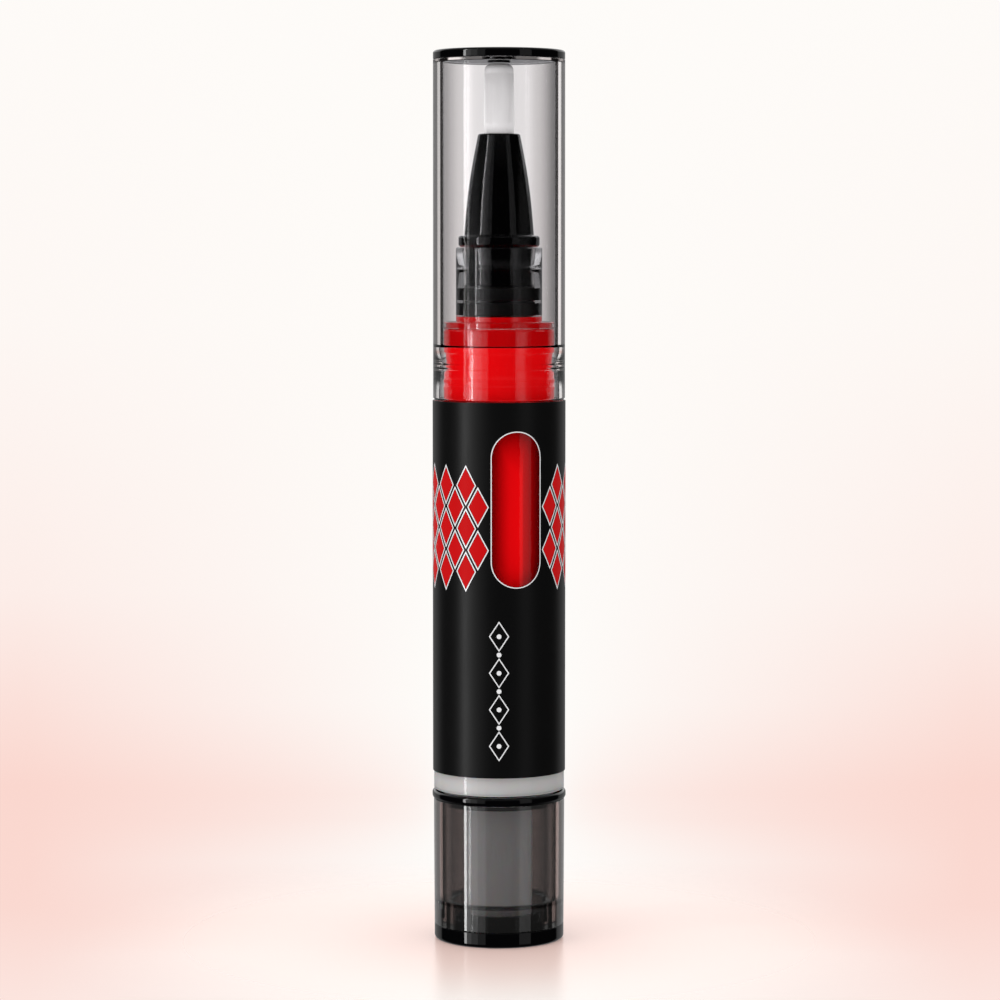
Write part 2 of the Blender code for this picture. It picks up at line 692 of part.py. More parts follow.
def driver_tube(finish, holder):
    """The tube that the knob turns, with a flange at its top and a flat-sided bore that turns the rod."""
    height = DRIVER_TOP_Z - DRIVER_Z
    flange_z = SLEEVE_SHELF_TOP_Z + RUN_GAP - DRIVER_Z
    key_z = height - DRIVER_KEY_LENGTH
    tube = turned(
        "driver_tube",
        [
            (0, height),
            (DRIVER_FLANGE_RADIUS, height),
            (DRIVER_FLANGE_RADIUS, flange_z),
            (DRIVER_RADIUS, flange_z),
            (DRIVER_RADIUS, 0),
            (DRIVER_BORE_RADIUS, 0),
            (DRIVER_BORE_RADIUS, key_z),
            (0, key_z),
        ],
        finish,
        holder,
        DRIVER_Z,
        SMALL_SEGMENTS,
    )
    radius = THREAD_RADIUS + RUN_GAP
    flat = ROD_FLAT_WIDTH / 2 + RUN_GAP
    half = math.acos(flat / radius)
    outline = arc_points(radius, half, math.pi - half, DRIVER_KEY_STEPS)
    outline += arc_points(radius, math.pi + half, 2 * math.pi - half, DRIVER_KEY_STEPS)
    key = prism(
        "driver_key",
        outline,
        DRIVER_Z + key_z - CUT_OVERRUN,
        DRIVER_TOP_Z + CUT_OVERRUN,
        finish,
    )
    cut(tube, key)
    return tube


def polar(radius, angle):
    """A point of the plane at a radius and an angle."""
    return (radius * math.cos(angle), radius * math.sin(angle))


def loop_edges(first, count):
    """Edges that join points into a closed loop, given the first point's number."""
    return [(first + index, first + (index + 1) % count) for index in range(count)]


def click_spring(finish, holder):
    """The springy collar on the driver tube, whose two trailing arms click over the ratchet teeth."""
    bore = DRIVER_RADIUS + FIT_GAP
    hub = bore + SPRING_HUB_WALL
    valley = SLEEVE_BORE_RADIUS
    tip = valley - RATCHET_TOOTH_DEPTH - RUN_GAP
    nose = valley - RUN_GAP
    root = hub + RUN_GAP + SPRING_ARM_THICKNESS
    outline = []
    for arm in range(SPRING_ARMS):
        nose_at = 2 * math.pi * arm / SPRING_ARMS
        root_at = nose_at + SPRING_ARM_SWEEP
        slot_at = root_at - SPRING_SLOT_SWEEP
        heel_at = nose_at + SPRING_NOSE_SWEEP
        toe_at = nose_at - SPRING_NOSE_LAG
        outline.append(polar(hub, root_at))
        for step in range(SPRING_ARM_STEPS + 1):
            share = step / SPRING_ARM_STEPS
            radius = root + (tip - root) * share
            outline.append(polar(radius, root_at + (heel_at - root_at) * share))
        outline.append(polar(nose, nose_at + SPRING_NOSE_LAG / 2))
        outline.append(polar(nose, nose_at))
        outline.append(polar(tip, toe_at))
        for step in range(SPRING_ARM_STEPS + 1):
            share = step / SPRING_ARM_STEPS
            radius = tip + (root - tip) * share - SPRING_ARM_THICKNESS
            outline.append(polar(radius, toe_at + (slot_at - toe_at) * share))
        behind = nose_at - 2 * math.pi / SPRING_ARMS + SPRING_ARM_SWEEP
        for step in range(SPRING_HUB_STEPS):
            share = step / SPRING_HUB_STEPS
            outline.append(polar(hub, slot_at + (behind - slot_at) * share))
    hole = [polar(bore, 2 * math.pi * index / SMALL_SEGMENTS) for index in range(SMALL_SEGMENTS)]
    flat = [Vector(point) for point in outline + hole]
    edges = loop_edges(0, len(outline)) + loop_edges(len(outline), len(hole))
    points, _, fills, origins, _, _ = delaunay_2d_cdt(flat, edges, [], 1, WELD)
    in_hole = {i for i, sources in enumerate(origins) if any(s >= len(outline) for s in sources)}
    shape = bmesh.new()
    verts = [shape.verts.new((point.x, point.y, 0)) for point in points]
    for fill in fills:
        if not set(fill) <= in_hole:
            shape.faces.new([verts[index] for index in fill])
    drawn = bmesh.ops.extrude_face_region(shape, geom=shape.faces)
    risen = [item for item in drawn["geom"] if isinstance(item, bmesh.types.BMVert)]
    bmesh.ops.translate(shape, verts=risen, vec=(0, 0, SPRING_HEIGHT))
    return placed("click_spring", shape, finish, holder, SLEEVE_Z + SPRING_LIFT)


def piston(finish, holder):
    """The piston: two sealing lips, a waist, a low crown and a socket for the rod's peg."""
    lip = BORE_RADIUS - FIT_GAP
    waist = lip - PISTON_WAIST_DEPTH
    socket = ROD_PEG_RADIUS + RUN_GAP
    socket_top = ROD_PEG_LENGTH + RUN_GAP
    low_lip = PISTON_LIP_HEIGHT
    crown = PISTON_HEIGHT - PISTON_CROWN_RISE
    high_lip = crown - PISTON_LIP_HEIGHT
    return turned(
        "piston",
        [
            (0, PISTON_HEIGHT),
            (lip * PISTON_CROWN_SHARE, PISTON_HEIGHT),
            (lip, crown),
            (lip, high_lip),
            (waist, high_lip),
            (waist, low_lip),
            (lip, low_lip),
            (lip, 0),
            (socket, 0),
            (socket, socket_top),
            (0, socket_top),
        ],
        finish,
        holder,
        PISTON_Z,
    )


def oil_charge(finish, holder):
    """The oil between the piston and the end of the bore."""
    radius = BORE_RADIUS - FIT_GAP
    height = BORE_TOP_Z - SEAT_GAP - OIL_Z
    return turned(
        "oil_charge",
        [(0, height), (radius, height), (radius, 0), (0, 0)],
        finish,
        holder,
        OIL_Z,
    )


def oil_in_neck(finish, holder):
    """The oil that stands in the neck, under the nozzle's shank."""
    radius = NECK_BORE_RADIUS - FIT_GAP
    height = SHANK_Z - SEAT_GAP - BORE_TOP_Z - SEAT_GAP
    return turned(
        "oil_in_neck",
        [(0, height), (radius, height), (radius, 0), (0, 0)],
        finish,
        holder,
        BORE_TOP_Z + SEAT_GAP,
        SMALL_SEGMENTS,
    )


def nozzle_cone(finish, holder):
    """The black brush holder: cone, flange and shank in one, bored for the feed tube and the ferrule."""
    seal_top = SEAL_ZONE_HEIGHT
    flange_low = NOZZLE_SEAT_Z - SHANK_Z
    flange_high = flange_low + FLANGE_HEIGHT
    top = flange_high + CONE_HEIGHT
    tube_bore = FEED_TUBE_RADIUS + FIT_GAP
    ferrule_bore = FERRULE_RADIUS + FIT_GAP
    ferrule_foot = FERRULE_Z - SEAT_GAP - SHANK_Z
    cone = []
    for step in range(CONE_STEPS):
        share = step / CONE_STEPS
        straight = CONE_BASE_RADIUS + (CONE_TOP_RADIUS - CONE_BASE_RADIUS) * share
        cone.append(
            (straight + CONE_BULGE * math.sin(math.pi * share), flange_high + CONE_HEIGHT * share)
        )
    return turned(
        "nozzle_cone",
        [
            (tube_bore, 0),
            (SEAL_SEAT_RADIUS, 0),
            (SEAL_SEAT_RADIUS, seal_top),
            (SHANK_RADIUS, seal_top),
            (SHANK_RADIUS, flange_low),
            (FLANGE_RADIUS, flange_low, FLANGE_FILLET),
            (FLANGE_RADIUS, flange_high, FLANGE_FILLET),
            *cone,
            (CONE_TOP_RADIUS, top, CONE_TOP_FILLET),
            (ferrule_bore, top),
            (ferrule_bore, ferrule_foot),
            (tube_bore, ferrule_foot),
        ],
        finish,
        holder,
        SHANK_Z,
    )


def nozzle_seal(number, finish, holder):
    """One of the rubber rings that seal the shank in the neck."""
    inner = SEAL_SEAT_RADIUS + FIT_GAP
    outer = NECK_BORE_RADIUS - FIT_GAP
    pitch = SEAL_ZONE_HEIGHT / SEAL_COUNT
    height = pitch - 2 * SEAT_GAP
    return turned(
        f"nozzle_seal_{number + 1}",
        [
            (outer, 0, SEAL_EDGE_FILLET),
            (outer, height, SEAL_EDGE_FILLET),
            (inner, height),
            (inner, 0),
        ],
        finish,
        holder,
        SHANK_Z + pitch * number + SEAT_GAP,
        SMALL_SEGMENTS,
    )


def feed_tube(finish, holder):
    """The thin tube that brings the oil through the shank to the brush."""
    height = FERRULE_Z - SEAT_GAP - SHANK_Z
    bore = FEED_TUBE_RADIUS - FEED_TUBE_WALL
    return turned(
        "feed_tube",
        [(FEED_TUBE_RADIUS, 0), (FEED_TUBE_RADIUS, height), (bore, height), (bore, 0)],
        finish,
        holder,
        SHANK_Z,
        TUBE_SEGMENTS,
    )


def brush_ferrule(finish, holder):
    """The metal ring crimped round the root of the bristles."""
    return turned(
        "brush_ferrule",
        [
            (FERRULE_RADIUS, 0),
            (FERRULE_RADIUS, FERRULE_LENGTH),
            (FERRULE_BORE_RADIUS, FERRULE_LENGTH),
            (FERRULE_BORE_RADIUS, 0),
        ],
        finish,
        holder,
        FERRULE_Z,
        SMALL_SEGMENTS,
    )


def bristle_centres():
    """Places of the bristles on a triangular lattice, inside the bundle and clear of its eye."""
    row_step = BRISTLE_SPACING * math.sin(math.pi / 3)
    reach = math.ceil(BRUSH_ROOT_RADIUS / row_step)
    inner = BRUSH_EYE_RADIUS + BRISTLE_EDGE_MARGIN
    outer = BRUSH_ROOT_RADIUS - BRISTLE_EDGE_MARGIN
    centres = []
    for row in range(-reach, reach + 1):
        for place in range(-reach - 1, reach + 2):
            x = (place + (row % 2) / 2) * BRISTLE_SPACING
            centre = Vector((x, row * row_step))
            if inner < centre.length < outer:
                centres.append(centre)
    return centres


def brush_bristles(finish, holder):
    """The bristles: tapered three-sided strands rising from a slice of their root, with a domed end."""
    root = BRUSH_SLICE
    top = BRUSH_TOP_Z - FERRULE_Z
    flare = BRUSH_TIP_RADIUS / BRUSH_ROOT_RADIUS
    turns = [2 * math.pi * index / SMALL_SEGMENTS for index in range(SMALL_SEGMENTS)]
    ring = [Vector(polar(BRUSH_ROOT_RADIUS, turn)) for turn in turns]
    eye = [Vector(polar(BRUSH_EYE_RADIUS, turn)) for turn in turns]
    centres = bristle_centres()
    sides = BRISTLE_SIDES
    spokes = [math.pi / 2 + 2 * math.pi * side / sides for side in range(sides)]
    corners = [Vector(polar(BRISTLE_RADIUS, spoke)) for spoke in spokes]
    flat = ring + eye + [centre + corner for centre in centres for corner in corners]
    first = len(ring) + len(eye)
    edges = loop_edges(0, len(ring)) + loop_edges(len(ring), len(eye))
    for number in range(len(centres)):
        edges += loop_edges(first + sides * number, sides)
    flat_points, _, fills, origins, _, _ = delaunay_2d_cdt(flat, edges, [], 1, WELD)
    shape = bmesh.new()
    verts = [shape.verts.new((point.x, point.y, root)) for point in flat_points]
    place = {origin: number for number, sources in enumerate(origins) for origin in sources}
    group = {place[first + sides * n + k]: n for n in range(len(centres)) for k in range(sides)}
    hole = {place[len(ring) + i] for i in range(len(eye))}
    for fill in fills:
        strands = {group.get(index) for index in fill}
        in_strand = len(strands) == 1 and None not in strands
        if not in_strand and not set(fill) <= hole:
            shape.faces.new([verts[index] for index in fill])
    loops = [
        [verts[place[i]] for i in range(len(ring))],
        [shape.verts.new((point.x, point.y, 0)) for point in ring],
        [shape.verts.new((point.x, point.y, 0)) for point in eye],
        [verts[place[len(ring) + i]] for i in range(len(eye))],
    ]
    for upper, lower in zip(loops, loops[1:]):
        for i in range(len(upper)):
            j = (i + 1) % len(upper)
            shape.faces.new((upper[i], upper[j], lower[j], lower[i]))
    for number, centre in enumerate(centres):
        crown = centre * flare
        past = max(crown.length - (BRUSH_TIP_RADIUS - BRUSH_TIP_ROUND), 0)
        drop = BRUSH_TIP_ROUND - math.sqrt(max(BRUSH_TIP_ROUND**2 - past**2, 0))
        foot = [verts[place[first + sides * number + k]] for k in range(sides)]
        tips = [
            shape.verts.new((*(crown + corner * BRISTLE_TIP_SHARE), top - drop)) for corner in corners
        ]
        for k in range(sides):
            j = (k + 1) % sides
            shape.faces.new((foot[k], foot[j], tips[j], tips[k]))
        shape.faces.new(tips)
    return placed("brush_bristles", shape, finish, holder, FERRULE_Z)


def cap_shell(finish, holder):
    """The smoked cap: a wider mouth with a snap bead, a straight bore and a thin end wall with a hole."""
    height = CAP_TOP_Z - CAP_Z
    ceiling = height - CAP_END_WALL
    hole = PIP_RADIUS + FIT_GAP
    bead = CAP_MOUTH_RADIUS - CAP_SNAP_RISE
    return turned(
        "cap_shell",
        [
            (CAP_RIM_RADIUS, 0, CAP_RIM_FILLET),
            (CAP_TOP_RADIUS, height),
            (hole, height),
            (hole, ceiling),
            (CAP_BORE_RADIUS, ceiling),
            (CAP_BORE_RADIUS, CAP_MOUTH_DEPTH),
            (CAP_MOUTH_RADIUS, CAP_MOUTH_DEPTH),
            (CAP_MOUTH_RADIUS, CAP_SNAP_HEIGHT + CAP_SNAP_HALF_WIDTH),
            (bead, CAP_SNAP_HEIGHT),
            (CAP_MOUTH_RADIUS, CAP_SNAP_HEIGHT - CAP_SNAP_HALF_WIDTH),
            (CAP_MOUTH_RADIUS, 0),
        ],
        finish,
        holder,
        CAP_Z,
    )


def cap_top_disc(finish, holder):
    """The black disc on the cap, whose pip goes through the end wall."""
    pip = CAP_END_WALL + PIP_STAND_OUT + SEAT_GAP
    return turned(
        "cap_top_disc",
        [
            (0, pip + CAP_DISC_HEIGHT),
            (CAP_TOP_RADIUS, pip + CAP_DISC_HEIGHT, CAP_DISC_FILLET),
            (CAP_TOP_RADIUS, pip),
            (PIP_RADIUS, pip),
            (PIP_RADIUS, 0),
            (0, 0),
        ],
        finish,
        holder,
        CAP_TOP_Z + SEAT_GAP - pip,
    )


def axis_empty(name):
    """An empty on the pen's axis that carries the pieces of one moving group."""
    empty = bpy.data.objects.new(name, None)
    bpy.context.scene.collection.objects.link(empty)
    return empty


def build():
    """Makes every piece, grouped by what it moves with."""
    clear_scene()
    finish = finishes()
    fixed = axis_empty("barrel_group")
    knob = axis_empty("knob_group")
    rod = axis_empty("rod_group")
    plunger = axis_empty("piston_group")
    cap = axis_empty("cap_group")

    barrel(finish["clear"], fixed)
    label_sleeve(finish["label"], fixed)
    mechanism_sleeve(finish["natural"], fixed)
    guide_nut(finish["white"], fixed)
    oil_charge(finish["oil"], fixed)
    oil_in_neck(finish["oil"], fixed)
    nozzle_cone(finish["black_gloss"], fixed)
    for number in range(SEAL_COUNT):
        nozzle_seal(number, finish["rubber"], fixed)
    feed_tube(finish["white"], fixed)
    brush_ferrule(finish["steel"], fixed)
    brush_bristles(finish["bristle"], fixed)

    knob_base_plug(finish["black_gloss"], knob)
    knob_shell(finish["smoked"], knob)
    knob_rim_ring(finish["black_gloss"], knob)
    driver_tube(finish["natural"], knob)
    click_spring(finish["white"], knob)

    screw_rod(finish["white"], rod)
    piston(finish["natural"], plunger)

    cap_shell(finish["smoked"], cap)
    cap_top_disc(finish["black_gloss"], cap)


build()
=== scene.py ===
"""Looks of a twist-up cuticle oil pen that stands on its knob with its cap on.

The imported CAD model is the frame. Fine turned pieces stand for its faceted ones, in the same
places, and the inner pieces that show only in other poses keep their CAD shapes. All lengths are
in metres, and the pen's axis is the Z axis.
"""

import json
import logging
import math
from dataclasses import dataclass, field
from enum import Enum
from typing import ClassVar

import bmesh
import bpy
from mathutils import Matrix, Vector

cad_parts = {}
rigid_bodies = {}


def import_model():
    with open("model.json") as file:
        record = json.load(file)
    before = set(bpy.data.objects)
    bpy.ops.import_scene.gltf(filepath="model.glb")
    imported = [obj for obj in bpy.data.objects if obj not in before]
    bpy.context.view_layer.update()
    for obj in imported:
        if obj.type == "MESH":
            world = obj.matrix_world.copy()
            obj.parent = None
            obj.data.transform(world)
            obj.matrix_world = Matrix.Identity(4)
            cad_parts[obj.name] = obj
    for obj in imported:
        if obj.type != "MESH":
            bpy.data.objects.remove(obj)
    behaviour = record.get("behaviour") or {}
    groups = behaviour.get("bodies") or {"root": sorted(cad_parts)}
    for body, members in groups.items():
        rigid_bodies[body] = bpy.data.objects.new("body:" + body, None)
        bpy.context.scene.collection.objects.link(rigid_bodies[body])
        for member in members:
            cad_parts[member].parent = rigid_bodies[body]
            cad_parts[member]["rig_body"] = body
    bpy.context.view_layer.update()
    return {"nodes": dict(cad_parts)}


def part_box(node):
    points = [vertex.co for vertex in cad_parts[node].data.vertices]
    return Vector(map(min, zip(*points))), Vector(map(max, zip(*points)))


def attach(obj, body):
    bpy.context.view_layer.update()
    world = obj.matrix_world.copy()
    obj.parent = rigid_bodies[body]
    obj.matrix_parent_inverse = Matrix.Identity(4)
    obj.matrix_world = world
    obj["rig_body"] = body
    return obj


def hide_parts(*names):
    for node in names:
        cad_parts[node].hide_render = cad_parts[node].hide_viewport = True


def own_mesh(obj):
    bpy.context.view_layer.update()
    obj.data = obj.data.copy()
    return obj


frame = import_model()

MM = 0.001
LOG = logging.getLogger("oil_pen")

Colour = tuple[float, float, float]
Corner = tuple[float, ...]
Loop = list[tuple[float, float]]
Range = tuple[float, float]
Place = tuple[float, float]
Stops = tuple[tuple[float, float], ...]
Socket = bpy.types.NodeSocket
Finish = bpy.types.Material
Piece = bpy.types.Object
Shape = bmesh.types.BMesh
Row = list[bmesh.types.BMVert]


class Body(Enum):
    """The moving groups of the pen."""

    BARREL = "barrel"
    KNOB = "knob"
    ROD = "rod"
    PISTON = "piston"
    CAP = "cap"


class Slot(Enum):
    """The record's material slots."""

    SMOKED = "smoked_plastic"
    CLEAR = "clear_plastic"
    GLOSS = "black_gloss"
    LABEL = "black_label"
    OIL = "red_oil"
    NATURAL = "natural_plastic"
    WHITE = "white_plastic"
    RUBBER = "black_rubber"
    STEEL = "steel"
    BRISTLE = "bristle"


class Tree:
    """A node tree with short ways to add nodes and to join them."""

    def __init__(self, tree: bpy.types.NodeTree) -> None:
        """Wraps a node tree."""
        self.tree = tree

    def feed(self, socket: Socket, source: object) -> None:
        """Gives an input a value, or joins an output to it.

        Args:
            socket: The input.
            source: A number, a colour or vector as a tuple, or an output socket.
        """
        if isinstance(source, Socket):
            self.tree.links.new(source, socket)
        else:
            socket.default_value = source

    def feed_all(self, node: bpy.types.Node, sources: dict) -> None:
        """Feeds several inputs of a node, each by its name or number."""
        for name, source in sources.items():
            self.feed(node.inputs[name], source)

    def add(self, kind: str, sources: dict | None = None, **settings: object) -> bpy.types.Node:
        """Adds a node.

        Args:
            kind: The node's Blender type.
            sources: What its inputs get, by their names or numbers.
            **settings: Properties to set on it.

        Returns:
            The new node.
        """
        node = self.tree.nodes.new(kind)
        for name, value in settings.items():
            setattr(node, name, value)
        self.feed_all(node, sources or {})
        return node

    def math(self, operation: str, first: object, second: object = 0.0) -> Socket:
        """The result of a Math node on two numbers or sockets."""
        return self.add("ShaderNodeMath", {0: first, 1: second}, operation=operation).outputs[0]

    def mix(self, share: object, low: object, high: object) -> Socket:
        """The mix of two colours, with a share of the second."""
        return self.add("ShaderNodeMix", {0: share, 6: low, 7: high}, data_type="RGBA").outputs[2]

    def scaled(self, colour: object, gain: object) -> Socket:
        """A colour times a gain."""
        sources = {0: colour, "Scale": gain}
        return self.add("ShaderNodeVectorMath", sources, operation="SCALE").outputs[0]

    def spread(self, value: Socket, source: Range, target: tuple[object, object]) -> Socket:
        """A value taken from one range to another and kept inside it."""
        ends = {"From Min": source[0], "From Max": source[1], "To Min": target[0], "To Max": target[1]}
        return self.add("ShaderNodeMapRange", {"Value": value, **ends}).outputs["Result"]

    def curve(self, value: Socket, stops: Stops, smooth: bool = False) -> Socket:
        """Adds a grey ramp.

        Args:
            value: The socket that reads along it, from 0 to 1.
            stops: Places along the ramp, each with its grey.
            smooth: Whether the greys ease into each other.

        Returns:
            The grey at the value's place.
        """
        ramp = self.add("ShaderNodeValToRGB", {0: value})
        band = ramp.color_ramp
        band.interpolation = "EASE" if smooth else "LINEAR"
        while len(band.elements) < len(stops):
            band.elements.new(0.5)
        for element, (place, grey) in zip(band.elements, stops):
            element.position = place
            element.color = (grey, grey, grey, 1.0)
        return ramp.outputs[0]

    def own_place(self) -> Socket:
        """A point's place in the piece's own coordinates."""
        return self.add("ShaderNodeTexCoord").outputs["Object"]

    def axes(self, place: Socket) -> bpy.types.NodeOutputs:
        """The X, Y and Z of a place or direction."""
        return self.add("ShaderNodeSeparateXYZ", {0: place}).outputs

    def noise(self, scale: object, stretch: Colour = (1.0, 1.0, 1.0), detail: float = 3.0) -> Socket:
        """Adds a noise in the piece's own coordinates.

        Args:
            scale: Its scale, in cells per metre.
            stretch: How much finer it is along each axis.
            detail: Its octaves.

        Returns:
            The noise's value.
        """
        place = self.add("ShaderNodeMapping", {"Vector": self.own_place(), "Scale": stretch}).outputs[0]
        sources = {"Vector": place, "Scale": scale, "Detail": detail}
        return self.add("ShaderNodeTexNoise", sources).outputs["Fac"]

    def effect(self, group: bpy.types.NodeTree, **values: object) -> Socket:
        """The output of a shared effect, placed with its inputs by name."""
        return self.add("ShaderNodeGroup", values, node_tree=group).outputs[0]

    def bump(self, height: Socket, depth: float) -> Socket:
        """The normal of a height from 0 to 1, where 1 is as deep as said."""
        return self.add("ShaderNodeBump", {"Strength": 1.0, "Distance": depth, "Height": height}).outputs[0]


class Effects:
    """The effects that several finishes share, each a shader node group."""

    scratch_fineness: float = 9.0
    scratch_stretch: Colour = (1.0, 1.0, 0.06)
    scratch_band: Range = (0.62, 0.8)
    least_roughness: float = 0.01
    grain_fineness: float = 60.0

    def __init__(self) -> None:
        """Builds every group once."""
        self.marks = self._handling_marks()
        self.ripple = self._mould_ripple()
        self.drift = self._tone_drift()

    @staticmethod
    def _group(name: str, inputs: dict[str, object], output: str) -> tuple:
        """Makes an empty group. A socket named Color holds a colour, and any other holds a number.

        Args:
            name: The group's name.
            inputs: Each input's name, with its default.
            output: The output's name.

        Returns:
            The group, its wrapped tree, its inputs' sockets and the socket that takes its result.
        """
        kinds = {"Color": "NodeSocketColor"}
        group = bpy.data.node_groups.new(name, "ShaderNodeTree")
        for label, value in inputs.items():
            kind = kinds.get(label, "NodeSocketFloat")
            socket = group.interface.new_socket(name=label, in_out="INPUT", socket_type=kind)
            socket.default_value = value
        kind = kinds.get(output, "NodeSocketFloat")
        group.interface.new_socket(name=output, in_out="OUTPUT", socket_type=kind)
        tree = Tree(group)
        return group, tree, tree.add("NodeGroupInput").outputs, tree.add("NodeGroupOutput").inputs[0]

    def _handling_marks(self) -> bpy.types.NodeTree:
        """Makes a roughness that drifts over a moulding and rises in fine marks from handling.

        Returns:
            The group.
        """
        defaults = {"Roughness": 0.1, "Spread": 0.03, "Scale": 400.0}
        group, tree, given, made = self._group("Handling Marks", defaults, "Roughness")
        soft = tree.noise(given["Scale"])
        fine = tree.math("MULTIPLY", given["Scale"], self.scratch_fineness)
        lines = tree.noise(fine, stretch=self.scratch_stretch, detail=2.0)
        scratch = tree.spread(lines, self.scratch_band, (0.0, 1.0))
        drift = tree.math("MULTIPLY", tree.math("SUBTRACT", soft, 0.5), given["Spread"])
        wear = tree.math("MULTIPLY", scratch, given["Spread"])
        total = tree.math("ADD", given["Roughness"], tree.math("ADD", drift, wear))
        tree.feed(made, tree.math("MAXIMUM", total, self.least_roughness))
        return group

    def _mould_ripple(self) -> bpy.types.NodeTree:
        """Makes the faint unevenness of a moulded wall, as a height.

        Returns:
            The group.
        """
        group, tree, given, made = self._group("Mould Ripple", {"Scale": 120.0, "Grain": 0.0}, "Height")
        broad = tree.noise(given["Scale"], detail=1.0)
        fine = tree.noise(tree.math("MULTIPLY", given["Scale"], self.grain_fineness), detail=2.0)
        tree.feed(made, tree.math("ADD", broad, tree.math("MULTIPLY", fine, given["Grain"])))
        return group

    def _tone_drift(self) -> bpy.types.NodeTree:
        """Makes a colour that grows a little lighter and darker over a piece.

        Returns:
            The group.
        """
        defaults = {"Color": (0.5, 0.5, 0.5, 1.0), "Amount": 0.05, "Scale": 150.0}
        group, tree, given, made = self._group("Tone Drift", defaults, "Color")
        cloud = tree.math("SUBTRACT", tree.noise(given["Scale"]), 0.5)
        gain = tree.math("ADD", tree.math("MULTIPLY", cloud, given["Amount"]), 1.0)
        tree.feed(made, tree.scaled(given["Color"], gain))
        return group


def material_tree(name: str) -> tuple[Finish, Tree, bpy.types.Node]:
    """Makes a material with a bare Principled BSDF.

    Args:
        name: The material's name.

    Returns:
        The material, its wrapped tree and its Principled BSDF.
    """
    material = bpy.data.materials.new(name)
    material.use_nodes = True
    return material, Tree(material.node_tree), material.node_tree.nodes["Principled BSDF"]


def mixed_output(material: Finish, tree: Tree, share: Socket, first: Socket, second: Socket) -> None:
    """Leads a mix of two shaders into a material's output.

    Args:
        material: The material.
        tree: Its tree.
        share: How much of the second shader shows.
        first: The first shader's output.
        second: The second shader's output.
    """
    both = tree.add("ShaderNodeMixShader", {0: share, 1: first, 2: second})
    tree.feed(material.node_tree.nodes["Material Output"].inputs["Surface"], both.outputs[0])


@dataclass(frozen=True)
class Moulding:
    """An opaque plastic, rubber, ink or metal."""

    name: str
    colour: Colour
    roughness: float
    spread: float = 0.04
    drift: float = 0.12
    marks_scale: float = 300.0
    ripple_depth: float = 0.004 * MM
    ripple_scale: float = 90.0
    grain: float = 0.0
    metallic: float = 0.0
    gloss_level: float = 0.5
    subsurface: float = 0.0
    subsurface_reach: float = 0.8 * MM

    def material(self, effects: Effects) -> Finish:
        """Makes the material.

        Args:
            effects: The shared node groups.

        Returns:
            The material.
        """
        material, tree, shader = material_tree(self.name)
        marks = {"Roughness": self.roughness, "Spread": self.spread, "Scale": self.marks_scale}
        ripple = tree.effect(effects.ripple, Scale=self.ripple_scale, Grain=self.grain)
        sources = {
            "Base Color": tree.effect(effects.drift, Color=(*self.colour, 1.0), Amount=self.drift),
            "Roughness": tree.effect(effects.marks, **marks),
            "Normal": tree.bump(ripple, self.ripple_depth),
            "Metallic": self.metallic,
            "Specular IOR Level": self.gloss_level,
            "Subsurface Weight": self.subsurface,
            "Subsurface Scale": self.subsurface_reach,
        }
        tree.feed_all(shader, sources)
        return material


@dataclass(frozen=True)
class ClearMoulding:
    """A clear or smoked plastic. Lamps and soft light reach what stands behind it."""

    name: str
    colour: Colour
    lamp_tint: Colour
    reflection: float = 1.0
    clearness: float = 1.0
    coat: float = 0.0
    spread: float = 0.012
    marks_scale: float = 260.0
    drift: float = 0.03
    ripple_depth: float = 0.0012 * MM
    ripple_scale: float = 45.0
    ledge: float = 0.0
    ledge_reach: float = 0.28 * MM
    # painted shade: darker below the ledge, darkest in a line at its edge
    ledge_shade_stops: Stops = ((0.0, 0.50), (0.2, 0.10), (0.75, 0.10), (1.0, 1.0))

    def _tint_with_ledge_shade(self, tree: Tree) -> object:
        """Finds the wall's colour, with painted shade: a dark line along the edge of a ledge, and darker
        below it, partly for the thicker wall there and partly as painted shade.

        Args:
            tree: The material's tree.

        Returns:
            The colour, or a socket that gives it.
        """
        if not self.ledge:
            return (*self.colour, 1.0)
        ends = (self.ledge - self.ledge_reach, self.ledge + self.ledge_reach)
        along = tree.spread(tree.axes(tree.own_place())["Z"], ends, (0.0, 1.0))
        return tree.scaled(self.colour, tree.curve(along, self.ledge_shade_stops))

    def material(self, effects: Effects) -> Finish:
        """Makes the material.

        Args:
            effects: The shared node groups.

        Returns:
            The material.
        """
        material, tree, shader = material_tree(self.name)
        marks = {"Roughness": 0.0, "Spread": self.spread, "Scale": self.marks_scale}
        ripple = tree.effect(effects.ripple, Scale=self.ripple_scale)
        sources = {
            "Base Color": tree.effect(effects.drift, Color=self._tint_with_ledge_shade(tree), Amount=self.drift),
            "Roughness": tree.effect(effects.marks, **marks),
            "Normal": tree.bump(ripple, self.ripple_depth),
            "Specular Tint": (*[self.reflection] * 3, 1.0),
            "Transmission Weight": self.clearness,
            "Coat Weight": self.coat,
        }
        tree.feed_all(shader, sources)
        path = tree.add("ShaderNodeLightPath").outputs
        either = tree.math("MAXIMUM", path["Is Shadow Ray"], path["Is Diffuse Ray"])
        through = tree.add("ShaderNodeBsdfTransparent", {"Color": (*self.lamp_tint, 1.0)}).outputs[0]
        mixed_output(material, tree, either, shader.outputs[0], through)
        return material


